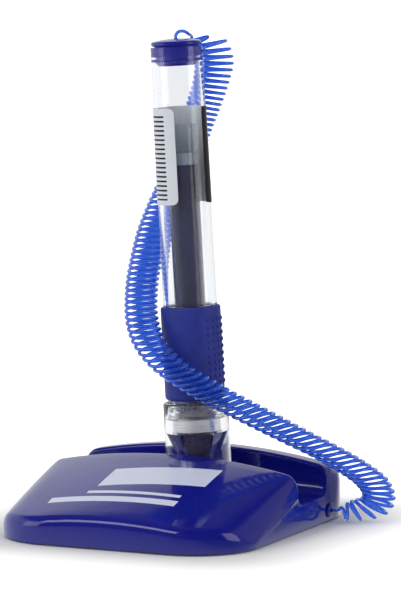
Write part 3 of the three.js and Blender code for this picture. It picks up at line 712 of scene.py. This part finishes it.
def repaint(node, finish):
    """Gives a piece of the frame its finish."""
    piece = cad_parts[node]
    piece.data.materials.clear()
    piece.data.materials.append(kept(finish))


# Curly cord


def route_curve(points, position):
    """A point on the smooth line through the points, which is centripetal."""
    stretch = min(int(position), len(points) - 2)
    share = position - stretch
    first, second = points[stretch], points[stretch + 1]
    before = points[stretch - 1] if stretch > 0 else 2 * first - second
    after = points[stretch + 2] if stretch + 2 < len(points) else 2 * second - first
    gaps = [max((b - a).length ** 0.5, 1e-9)
            for a, b in ((before, first), (first, second), (second, after))]
    leave = ((first - before) / gaps[0] - (second - before) / (gaps[0] + gaps[1])
             + (second - first) / gaps[1]) * gaps[1]
    arrive = ((second - first) / gaps[1] - (after - first) / (gaps[1] + gaps[2])
              + (after - second) / gaps[2]) * gaps[1]
    return (first
            + leave * share
            + (3 * (second - first) - 2 * leave - arrive) * share ** 2
            + (2 * (first - second) + leave + arrive) * share ** 3)


def cord_line(curl_radius, steps_per_curl):
    """The cord's own line: straight at its ends, and wound in rings in between."""
    sideways = Vector((math.cos(RING_HEADING), math.sin(RING_HEADING), 0))
    level_through = Vector((-sideways.y, sideways.x, 0))
    points = [Vector(place) for place, *_ in CORD_ROUTE]
    stretches = len(points) - 1
    line = [points[0].copy()]
    curls = 0.0
    shown = 0
    since_last = 0.0
    before = points[0]
    for step in range(1, stretches * ROUTE_STEPS + 1):
        position = step / ROUTE_STEPS
        here = route_curve(points, position)
        stretch = min(int(position), stretches - 1)
        share = position - stretch
        tilt, spacing, fullness = (
            CORD_ROUTE[stretch][k] * (1 - share) + CORD_ROUTE[stretch + 1][k] * share
            for k in (1, 2, 3))
        along = sideways * math.cos(math.radians(tilt)) + UP * math.sin(math.radians(tilt))
        lean = RING_LEAN * min(max((RING_LEAN_TOP - here.z) / RING_LEAN_FADE, 0), 1)
        normal = along.cross(level_through)
        through = level_through * math.cos(lean) + normal * math.sin(lean)
        moved = here - before
        curled = fullness > 0
        if curled:
            curls += abs(moved.dot(normal)) / spacing
        since_last += moved.length
        if curled and curls * steps_per_curl >= shown + 1:
            shown += 1
        elif curled or since_last < PLAIN_STEP:
            before = here
            continue
        angle = math.tau * curls
        radius = curl_radius * fullness
        line.append(here + along * radius * math.cos(angle) + through * radius * math.sin(angle))
        since_last = 0.0
        before = here
    line.append(points[-1].copy())
    return line


class COUNTERPEN_OT_stage(bpy.types.Operator):
    """Sets the camera, the lamps, the white surroundings and the floor"""

    bl_idname = "counter_pen.stage"
    bl_label = "Stage"

    def execute(self, context):
        settings = stage_settings()
        scene = context.scene
        scene.view_settings.view_transform = "Standard"
        place = Vector(settings.camera_place)
        aim = Vector(settings.camera_aim)
        camera_data = bpy.data.cameras.new("photo_camera")
        camera_data.lens = settings.lens
        camera_data.clip_end = CAMERA_REACH
        camera = bpy.data.objects.new("photo_camera", camera_data)
        camera.location = place
        camera.rotation_euler = (aim - place).to_track_quat("-Z", "Y").to_euler()
        scene.collection.objects.link(camera)
        scene.camera = camera
        self.surroundings(scene, settings)
        self.lamp(scene, "key_lamp", (-0.35, -0.75, 0.75), 0.6, 0.35, settings.key_power)
        self.lamp(scene, "left_strip", (-0.62, -0.55, 0.20), 0.40, 0.60, settings.strip_power)
        self.lamp(scene, "right_strip", (0.83, 0.05, 0.20), 0.40, 0.60, settings.strip_power)
        self.floor(scene, settings)
        return {"FINISHED"}

    def surroundings(self, scene, settings):
        """A white studio. Its ceiling and front are darker, which only gloss and glass show."""
        world = bpy.data.worlds.new("white_studio")
        world.use_nodes = True
        scene.world = world
        studio = Shading(world.node_tree)
        direction = studio.node("ShaderNodeTexCoord").outputs["Generated"]
        x, _, z = studio.parts(direction)
        behind = studio.behind(direction)
        gloss = studio.math("MULTIPLY", studio.span(z, 1, settings.ceiling, *STUDIO_CEILING),
                            studio.span(behind, settings.ceiling, 1, *STUDIO_BACK))
        gloss = studio.math("MULTIPLY", gloss,
                            studio.span(x, 1, STUDIO_RIGHT_SHARE, *STUDIO_RIGHT))
        glass = studio.span(behind, settings.glass_front, 1, *STUDIO_BACK_IN_GLASS)
        passed = studio.span(studio.rays("Is Transmission Ray"), settings.ambient, glass, 0, 1)
        plain = studio.span(studio.rays("Is Camera Ray"), passed, 1, 0, 1)
        mirrored = studio.math("GREATER_THAN", studio.rays("Is Glossy Ray"),
                               studio.rays("Is Transmission Ray"))
        background = studio.tree.nodes["Background"]
        studio.feed(background.inputs["Strength"], studio.span(mirrored, plain, gloss, 0, 1))
        studio.feed(background.inputs["Color"], (1, 1, 1, 1))

    def lamp(self, scene, name, place, width, height, power):
        """A rectangular lamp that faces the middle of the object."""
        light = bpy.data.lights.new(name, "AREA")
        light.shape = "RECTANGLE"
        light.size = width
        light.size_y = height
        light.energy = power
        lamp = bpy.data.objects.new(name, light)
        lamp.location = place
        lamp.rotation_euler = (LAMP_AIM - lamp.location).to_track_quat("-Z", "Y").to_euler()
        scene.collection.objects.link(lamp)

    def floor(self, scene, settings):
        """A pale floor that takes shadows. Away from the object the camera sees it as white."""
        bm = bmesh.new()
        bmesh.ops.create_grid(bm, x_segments=1, y_segments=1, size=FLOOR_HALF)
        mesh = bpy.data.meshes.new("floor")
        bm.to_mesh(mesh)
        bm.free()
        floor = bpy.data.objects.new("floor", mesh)
        scene.collection.objects.link(floor)
        finish = Finish("white_floor", FLOOR_COLOUR, 0.9)
        place = finish.place()
        x, y, _ = finish.parts(place)
        away_x, away_y = (
            finish.math("MAXIMUM", finish.math("SUBTRACT", finish.math("ABSOLUTE", side), half), 0)
            for side, half in zip((x, y), FLOOR_INNER_HALVES))
        away = finish.math("SQRT", finish.math("ADD", finish.math("MULTIPLY", away_x, away_x),
                                               finish.math("MULTIPLY", away_y, away_y)))
        white = finish.math("MULTIPLY", finish.rays("Is Camera Ray"),
                            finish.span(away, 0, settings.floor_glow, *FLOOR_WHITE))
        plain = finish.mixed(white, finish.shader.outputs["BSDF"],
                             finish.glow(FLOOR_WHITE_STRENGTH))
        behind = finish.behind(place)
        gloss = finish.math("MULTIPLY", finish.span(behind, settings.front, 1, *FLOOR_BACK),
                            finish.span(x, 1, FLOOR_RIGHT_SHARE, *FLOOR_RIGHT))
        glass = finish.math("MULTIPLY", finish.rays("Is Transmission Ray"),
                            finish.span(behind, FLOOR_FRONT_IN_GLASS, 1, *FLOOR_BACK_IN_GLASS))
        mirrored = finish.glow(finish.math("MAXIMUM", gloss, glass))
        finish.surface(finish.mixed(finish.rays("Is Glossy Ray", "Is Transmission Ray"),
                                    plain, mirrored))
        mesh.materials.append(finish.material)


class COUNTERPEN_OT_cord(bpy.types.Operator):
    """Winds the curly cord from the end plug round the pen and into the base"""

    bl_idname = "counter_pen.cord"
    bl_label = "Curly cord"

    def execute(self, context):
        radius = sizes().cord_radius
        line = cord_line(sizes().curl_radius, sizes().steps_per_curl)
        curve = bpy.data.curves.new("cord_coil", "CURVE")
        curve.dimensions = "3D"
        curve.bevel_depth = radius
        curve.bevel_resolution = 4
        curve.use_fill_caps = True
        spline = curve.splines.new("POLY")
        spline.points.add(len(line) - 1)
        for point, place in zip(spline.points, line):
            point.co = (*place, 1)
        wire = bpy.data.objects.new("cord_wire", curve)
        context.scene.collection.objects.link(wire)
        context.view_layer.update()
        mesh = bpy.data.meshes.new_from_object(wire.evaluated_get(
            context.evaluated_depsgraph_get()))
        mesh.name = "cord_coil"
        bpy.data.objects.remove(wire)
        caps = bmesh.new()
        caps.from_mesh(mesh)
        bmesh.ops.remove_doubles(caps, verts=caps.verts, dist=1e-6)
        caps.to_mesh(mesh)
        caps.free()
        mesh.materials.append(kept("cord_plastic"))
        mesh.polygons.foreach_set("use_smooth", [True] * len(mesh.polygons))
        cord = bpy.data.objects.new("cord_coil", mesh)
        context.scene.collection.objects.link(cord)
        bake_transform(cord)
        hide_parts("curly_cord")
        return {"FINISHED"}


class COUNTERPEN_OT_base(bpy.types.Operator):
    """Lofts the moulded base shell with its hump, trough and rounded edges"""

    bl_idname = "counter_pen.base"
    bl_label = "Base shell"

    def execute(self, context):
        bm = bmesh.new()
        outer = self.skin(bm, 0.0)
        inner = self.skin(bm, BASE_WALL)
        bmesh.ops.bridge_loops(bm, edges=outer + inner)
        bmesh.ops.recalc_face_normals(bm, faces=bm.faces)
        finished(bm, "base_moulding", "base", "moulded_blue", crease=32,
                 replaces="base_shell")
        return {"FINISHED"}

    def reach(self, x, inset):
        """How far front and rear lie from the middle at x, inside the rounded corners."""
        corner = BASE_CORNER - inset
        into = max(abs(x) - (BASE_WIDTH / 2 - inset - corner), 0)
        return BASE_DEPTH / 2 - inset - corner + math.sqrt(max(corner ** 2 - into ** 2, 0))

    def shoulder(self, x, inset, radius):
        """How far a rounded shoulder has fallen at x."""
        radius = max(radius - inset, LEAST_SHOULDER)
        into = max(abs(x) - (BASE_WIDTH / 2 - inset - radius), 0)
        return radius - math.sqrt(max(radius ** 2 - into ** 2, 0))

    def section(self, x, inset):
        """The base cut at x, from its front foot over the top to its rear foot."""
        crown = CROWN_DROP * (2 * x / BASE_WIDTH) ** 2 + inset
        drop = crown + self.shoulder(x, inset, RIDGE_SHOULDER)
        reach = self.reach(x, inset)
        front_wall = TROUGH_FRONT - inset
        rear_wall = TROUGH_REAR + inset
        ridge = RIDGE_HEIGHT - drop
        rear = REAR_TOP - drop
        flat = min(REAR_FLAT, REAR_FLAT_SHARE * (reach - rear_wall))
        floor = TROUGH_FLOOR - inset
        run = front_wall + reach
        front = (RIDGE_HEIGHT - crown - self.shoulder(x, inset, FRONT_SHOULDER)
                 - run * math.tan(SLOPE))
        slope = [(-reach + run * share,
                  front + (ridge - front) * share + SLOPE_BULGE * 4 * share * (1 - share), 0)
                 for share in (i / SLOPE_STEPS for i in range(1, SLOPE_STEPS))]
        foot = SHELL_LIFT + RIM_BEVEL * inset
        corners = [
            (-reach, foot, 0),
            (-reach, front, FRONT_EDGE),
            *slope,
            (front_wall, ridge, LIP),
            (front_wall, floor, TROUGH_CORNER),
            (rear_wall, floor, TROUGH_CORNER),
            (rear_wall, rear, REAR_LIP),
            (rear_wall + flat, rear, REAR_EDGE),
            (reach, rear - (reach - rear_wall - flat) * math.tan(REAR_SLOPE), REAR_EDGE),
            (reach, foot, 0),
        ]
        points = []
        for before, (y, z, radius), after in zip([None] + corners, corners, corners[1:] + [None]):
            corner = Vector((y, z))
            if radius == 0:
                points.append(corner)
                continue
            points += self.arc(Vector(before[:2]), corner, Vector(after[:2]), radius)
        return points

    def arc(self, before, corner, after, radius):
        """The points that round a corner of the section."""
        back, ahead = before - corner, after - corner
        half = back.angle(ahead) / 2
        tangent = min(radius / math.tan(half), MOST_OF_SIDE * min(back.length, ahead.length))
        back.normalize()
        ahead.normalize()
        centre = corner + (back + ahead).normalized() * tangent / math.cos(half)
        first = corner + back * tangent - centre
        last = corner + ahead * tangent - centre
        turn = math.atan2(first.x * last.y - first.y * last.x, first.dot(last))
        return [centre + Matrix.Rotation(turn * i / ARC_STEPS, 2) @ first
                for i in range(ARC_STEPS + 1)]

    def skin(self, bm, inset):
        """One skin of the shell: a section at the left end, drawn out to the right end."""
        half = BASE_WIDTH / 2 - inset
        straight = BASE_WIDTH / 2 - BASE_CORNER
        right = [straight * i / STRAIGHT_STATIONS for i in range(1, STRAIGHT_STATIONS + 1)]
        right += [straight + (half - straight) * math.sin(math.radians(angle))
                  for angle in CORNER_STATIONS]
        stations = [-x for x in reversed(right)] + [0.0] + right
        ring = [bm.verts.new((stations[0], *point))
                for point in self.section(stations[0], inset)]
        edges = [bm.edges.new(pair) for pair in zip(ring, ring[1:])]
        foot = bm.edges.new((ring[-1], ring[0]))
        bm.faces.new(ring)
        rim = [foot]
        for x in stations[1:]:
            made = bmesh.ops.extrude_edge_only(bm, edges=edges)["geom"]
            drawn = {vert for vert in made if isinstance(vert, bmesh.types.BMVert)}
            links = [next(edge for edge in vert.link_edges if edge.other_vert(vert) in drawn)
                     for vert in ring]
            rim += [links[0], links[-1]]
            ring = [edge.other_vert(vert) for vert, edge in zip(ring, links)]
            for vert, point in zip(ring, self.section(x, inset)):
                vert.co = (x, *point)
            edges = [next(edge for edge in a.link_edges if edge.other_vert(a) is b)
                     for a, b in zip(ring, ring[1:])]
        rim.append(bm.edges.new((ring[-1], ring[0])))
        bm.faces.new(ring)
        return rim


class COUNTERPEN_OT_underside(bpy.types.Operator):
    """Finishes the cover, the weight, the rubber feet and the screws under the base"""

    bl_idname = "counter_pen.underside"
    bl_label = "Underside"

    def execute(self, context):
        repaint("bottom_cover", "black_plastic")
        repaint("steel_weight", "cut_steel")
        for node in ("cord_clamp", "cup_screw"):
            repaint(node, "bright_zinc")
        for number in range(1, 5):
            low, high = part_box(f"foot_{number}")
            middle = (low + high) / 2 / MM
            top = high.z / MM
            bm = turned([(0, 0.15), (1.6, 0.15), (1.9, 0), (3.7, 0), (4, 0.3), (4, top),
                         (0, top)], closed=False, steps=64)
            soften(bm, 0.12)
            finished(bm, f"rubber_foot_{number}", "base", "foot_matt_rubber",
                     place=Matrix.Translation((middle.x, middle.y, 0)),
                     replaces=f"foot_{number}")
            repaint(f"cover_screw_{number}", "bright_zinc")
        return {"FINISHED"}


class COUNTERPEN_OT_grommet(bpy.types.Operator):
    """Turns the grommet where the cord enters the base"""

    bl_idname = "counter_pen.grommet"
    bl_label = "Cord grommet"

    def execute(self, context):
        bm = turned([(0.62, 34.3), (1.4, 34.3), (1.4, 36.1), (2.0, 36.1), (2.0, 36.4),
                     (1.7, 36.6), (0.62, 36.6)], steps=48)
        soften(bm, 0.08)
        turn = Matrix.Translation(CORD_ENTRY) @ Matrix.Rotation(math.radians(90), 4, "Y")
        finished(bm, "cord_bush", "base", "plug_blue", place=turn,
                 replaces="cord_grommet")
        return {"FINISHED"}


class COUNTERPEN_OT_cup(bpy.types.Operator):
    """Turns the clear cup that the pen stands in"""

    bl_idname = "counter_pen.cup"
    bl_label = "Clear cup"

    def execute(self, context):
        bm = turned([
            (0, -1.06), (1.4, -1.06), (1.4, -3.4), (3.2, -3.4), (3.2, -0.7), (5.0, -0.7),
            (8.8, 3.5), (8.8, 23.05), (8.45, 23.4), (8.1, 23.4), (7.75, 23.05), (7.75, 19.05),
            (6.75, 19.05), (6.75, 15.05), (5.65, 15.05), (2.0, 4.2), (2.0, 3.2), (1.4, 3.2),
            (1.4, 0.4), (0, 0.4),
        ], closed=False)
        soften(bm, 0.12)
        finished(bm, "pen_cup_clear", "base", "clear_moulding", place=PEN_PLACE,
                 replaces="pen_cup")
        return {"FINISHED"}


class COUNTERPEN_OT_barrel(bpy.types.Operator):
    """Turns the clear barrel of the pen"""

    bl_idname = "counter_pen.barrel"
    bl_label = "Clear barrel"

    def execute(self, context):
        bm = turned([
            (BARREL_BORE, BARREL_START), (BARREL_FOOT_RADIUS - 0.3, BARREL_START),
            (BARREL_FOOT_RADIUS, BARREL_START + 0.3),
            (BARREL_FOOT_RADIUS, 21.2), (BARREL_FOOT_RADIUS - 0.25, 21.4),
            (BARREL_FOOT_RADIUS - 0.25, 21.7), (BARREL_FOOT_RADIUS, 21.9),
            (BARREL_FOOT_RADIUS, GRIP_START - 0.3), (GRIP_SEAT, GRIP_START - 0.3),
            (GRIP_SEAT, GRIP_END + 0.3), (BARREL_LOWER_RADIUS, GRIP_END + 0.3),
            (BARREL_UPPER_RADIUS, BARREL_TOP), (BARREL_BORE, BARREL_TOP),
        ])
        soften(bm, 0.1)
        finished(bm, "clear_barrel", "pen", "clear_moulding", place=PEN_PLACE,
                 replaces="pen_barrel")
        return {"FINISHED"}


class COUNTERPEN_OT_label(bpy.types.Operator):
    """Wraps the label round the barrel, with rounded corners and an open front"""

    bl_idname = "counter_pen.label"
    bl_label = "Barrel label"

    def execute(self, context):
        width = math.radians(LABEL_LAST - LABEL_FIRST) * LABEL_FLAT_RADIUS
        height = LABEL_END - LABEL_START
        bm = bmesh.new()
        corners = [bm.verts.new((u, v, 0)) for u, v in
                   ((0, 0), (width, 0), (width, height), (0, height))]
        bm.faces.new(corners)
        bmesh.ops.bevel(bm, geom=corners, offset=LABEL_CORNER, offset_type="OFFSET", segments=8,
                        profile=0.5, affect="VERTICES", clamp_overlap=True, material=-1)
        for i in range(1, LABEL_CUTS):
            bmesh.ops.bisect_plane(bm, geom=bm.verts[:] + bm.edges[:] + bm.faces[:],
                                   plane_co=(width * i / LABEL_CUTS, 0, 0), plane_no=(1, 0, 0))
        flat = bm.loops.layers.uv.new("UVMap")
        for face in bm.faces:
            for loop in face.loops:
                loop[flat].uv = (loop.vert.co.x / width, loop.vert.co.y / height)
        for vert in bm.verts:
            level = LABEL_START + vert.co.y
            angle = math.radians(LABEL_FIRST) + vert.co.x / LABEL_FLAT_RADIUS
            radius = self.barrel_radius(level) + LABEL_GAP
            vert.co = (radius * math.cos(angle), radius * math.sin(angle), level)
        bmesh.ops.recalc_face_normals(bm, faces=bm.faces)
        outwards = bm.faces[0].normal.dot(bm.faces[0].calc_center_median().to_2d().to_3d())
        if outwards < 0:
            bmesh.ops.reverse_faces(bm, faces=bm.faces)
        bmesh.ops.solidify(bm, geom=bm.faces[:], thickness=LABEL_THICKNESS)
        finished(bm, "label_film_wrap", "pen", "label_print_film", place=PEN_PLACE,
                 replaces="barrel_label")
        return {"FINISHED"}

    def barrel_radius(self, level):
        """Half the barrel's thickness above the grip, where it tapers."""
        share = (level - GRIP_END) / (BARREL_TOP - GRIP_END)
        return BARREL_LOWER_RADIUS + (BARREL_UPPER_RADIUS - BARREL_LOWER_RADIUS) * share


class COUNTERPEN_OT_grip(bpy.types.Operator):
    """Turns the rubber grip and sets its rows of studs"""

    bl_idname = "counter_pen.grip"
    bl_label = "Rubber grip"

    def execute(self, context):
        rubber = "grip_soft_rubber"
        bore = GRIP_SEAT + GRIP_GAP
        bm = turned([
            (bore, GRIP_START), (GRIP_RADIUS - 0.7, GRIP_START),
            (GRIP_RADIUS - 0.3, GRIP_START + 0.15), (GRIP_RADIUS, GRIP_START + 0.75),
            (GRIP_RADIUS, GRIP_END - 0.35), (GRIP_RADIUS - 0.35, GRIP_END), (bore, GRIP_END),
        ])
        soften(bm, 0.18, 3)
        finished(bm, "grip_sleeve", "pen", rubber, place=PEN_PLACE,
                 replaces="rubber_grip")
        finished(self.studs(), "grip_studs", "pen", rubber, place=PEN_PLACE,
                 crease=80)
        return {"FINISHED"}

    def studs(self):
        """Rows of rounded studs over a third of the way round the grip."""
        height = sizes().stud_height / MM
        bm = bmesh.new()
        for row in range(STUD_ROWS):
            level = GRIP_START + FIRST_STUD_ABOVE_START + STUD_SPACING * row
            for column in range(STUD_COLUMNS):
                angle = FIRST_STUD_ANGLE + STUD_TURN * column
                made = bmesh.ops.create_icosphere(bm, subdivisions=2, radius=1)["verts"]
                bmesh.ops.scale(bm, vec=(height, STUD_HALF_WIDTH, STUD_HALF_LENGTH), verts=made)
                bmesh.ops.translate(bm, vec=(GRIP_RADIUS - STUD_SINK, 0, level), verts=made)
                bmesh.ops.rotate(bm, cent=(0, 0, 0), verts=made,
                                 matrix=Matrix.Rotation(math.radians(angle), 3, "Z"))
        return bm


class COUNTERPEN_OT_nose(bpy.types.Operator):
    """Turns the nose cone, its collar and the writing tip"""

    bl_idname = "counter_pen.nose"
    bl_label = "Nose and tip"

    def execute(self, context):
        cone = turned([
            (1.4, 4.2), (1.7, 4.2), (5.4, 15.2), (4.7, 15.2), (4.7, 19.8), (5.65, 19.8),
            (5.65, 26.0), (4.45, 26.0), (4.45, 20.7), (2.8, 20.4), (2.8, 12.8), (1.4, 5.5),
        ])
        soften(cone, 0.1)
        # The nose's dark grey-violet colour is a painted reflection of the dark blue base.
        finished(cone, "nose_moulding", "pen", "nose_painted_base_reflection", place=PEN_PLACE,
                 replaces="nose_cone")
        collar = turned([(5.0, 15.5), (6.45, 15.5), (6.45, 19.2), (5.0, 19.2)])
        soften(collar, 0.15)
        finished(collar, "collar_ring", "pen", "satin_metal", place=PEN_PLACE,
                 replaces="nose_collar")
        tip = turned([
            (0, 1.5), (0.36, 1.5), (0.36, 0.92), (0.46, 0.92), (1.1, 3.6), (1.1, 4.8),
            (0.8, 4.8), (0.8, 8.0), (0, 8.0),
        ], closed=False, steps=48)
        soften(tip, 0.04)
        finished(tip, "point_sleeve", "pen", "bright_zinc", place=PEN_PLACE,
                 replaces="writing_tip")
        repaint("tip_ball", "bright_zinc")
        return {"FINISHED"}


class COUNTERPEN_OT_refill(bpy.types.Operator):
    """Turns the refill tube with its ink and the grease that follows it"""

    bl_idname = "counter_pen.refill"
    bl_label = "Refill"

    def execute(self, context):
        tube = turned([(REFILL_BORE, REFILL_START), (REFILL_RADIUS, REFILL_START),
                       (REFILL_RADIUS, REFILL_END), (REFILL_BORE, REFILL_END)], steps=96)
        soften(tube, 0.08)
        finished(tube, "refill_clear", "pen", "refill_milky", place=PEN_PLACE,
                 replaces="refill_tube")
        wet = REFILL_BORE + WALL_OVERLAP
        ink = turned([(0, INK_START), (wet, INK_START), (wet, INK_END),
                      (wet - 0.6, INK_END - 0.35), (0, INK_END - 0.5)], closed=False, steps=96)
        finished(ink, "ink_fill", "pen", "ink_wet", place=PEN_PLACE,
                 replaces="ink_column")
        grease = turned([(0, INK_END - 0.4), (wet - 0.6, INK_END - 0.25), (wet, INK_END + 0.1),
                         (wet, FOLLOWER_TOP), (wet - 0.7, FOLLOWER_TOP - 0.3),
                         (0, FOLLOWER_TOP - 0.45)], closed=False, steps=96)
        finished(grease, "grease_plug", "pen", "grease_clear", place=PEN_PLACE,
                 replaces="ink_follower")
        repaint("refill_holder", "refill_milky")
        return {"FINISHED"}


class COUNTERPEN_OT_plug(bpy.types.Operator):
    """Turns the end plug that the cord comes out of"""

    bl_idname = "counter_pen.plug"
    bl_label = "End plug"

    def execute(self, context):
        wall = BARREL_BORE + WALL_OVERLAP
        bm = turned([
            (2.6, 114.0), (5.1, 114.0), (wall, 115.1), (wall, 115.9), (wall - 0.3, 116.15),
            (wall, 116.4), (wall, 119.3), (6.45, 119.3), (6.75, 119.55), (6.75, 120.2),
            (6.35, 120.55), (3.7, 121.0), (0.74, 121.2), (0.74, 118.6), (2.6, 118.6),
        ])
        soften(bm, 0.12)
        finished(bm, "plug_moulding", "pen", "plug_blue", place=PEN_PLACE,
                 replaces="end_plug")
        repaint("cord_stop", "plug_blue")
        return {"FINISHED"}


STEPS = (
    COUNTERPEN_OT_stage,
    COUNTERPEN_OT_cord,
    COUNTERPEN_OT_base,
    COUNTERPEN_OT_underside,
    COUNTERPEN_OT_grommet,
    COUNTERPEN_OT_cup,
    COUNTERPEN_OT_barrel,
    COUNTERPEN_OT_label,
    COUNTERPEN_OT_grip,
    COUNTERPEN_OT_nose,
    COUNTERPEN_OT_refill,
    COUNTERPEN_OT_plug,
)


class COUNTERPEN_PT_panel(bpy.types.Panel):
    """Lists the pieces of the counter pen and its settings"""

    bl_idname = "COUNTERPEN_PT_panel"
    bl_label = "Counter Pen"
    bl_space_type = "VIEW_3D"
    bl_region_type = "UI"
    bl_category = "Counter Pen"

    def draw(self, context):
        for group in (colours(), sizes(), stage_settings()):
            box = self.layout.box()
            for setting in group.__annotations__:
                box.prop(group, setting)
        column = self.layout.column(align=True)
        for step in STEPS:
            column.operator(step.bl_idname)


GROUPS = (CounterPenColours, CounterPenSizes, CounterPenStage)


def register():
    for cls in (*GROUPS, *STEPS, COUNTERPEN_PT_panel):
        bpy.utils.register_class(cls)
    bpy.types.Scene.counter_pen_colours = bpy.props.PointerProperty(type=CounterPenColours)
    bpy.types.Scene.counter_pen_sizes = bpy.props.PointerProperty(type=CounterPenSizes)
    bpy.types.Scene.counter_pen_stage = bpy.props.PointerProperty(type=CounterPenStage)


def unregister():
    del bpy.types.Scene.counter_pen_colours
    del bpy.types.Scene.counter_pen_sizes
    del bpy.types.Scene.counter_pen_stage
    for cls in reversed((*GROUPS, *STEPS, COUNTERPEN_PT_panel)):
        bpy.utils.unregister_class(cls)


def main():
    register()
    bpy.ops.counter_pen.stage()
    bpy.ops.counter_pen.cord()
    bpy.ops.counter_pen.base()
    bpy.ops.counter_pen.underside()
    bpy.ops.counter_pen.grommet()
    bpy.ops.counter_pen.cup()
    bpy.ops.counter_pen.barrel()
    bpy.ops.counter_pen.label()
    bpy.ops.counter_pen.grip()
    bpy.ops.counter_pen.nose()
    bpy.ops.counter_pen.refill()
    bpy.ops.counter_pen.plug()


if __name__ == "__main__":
    main()
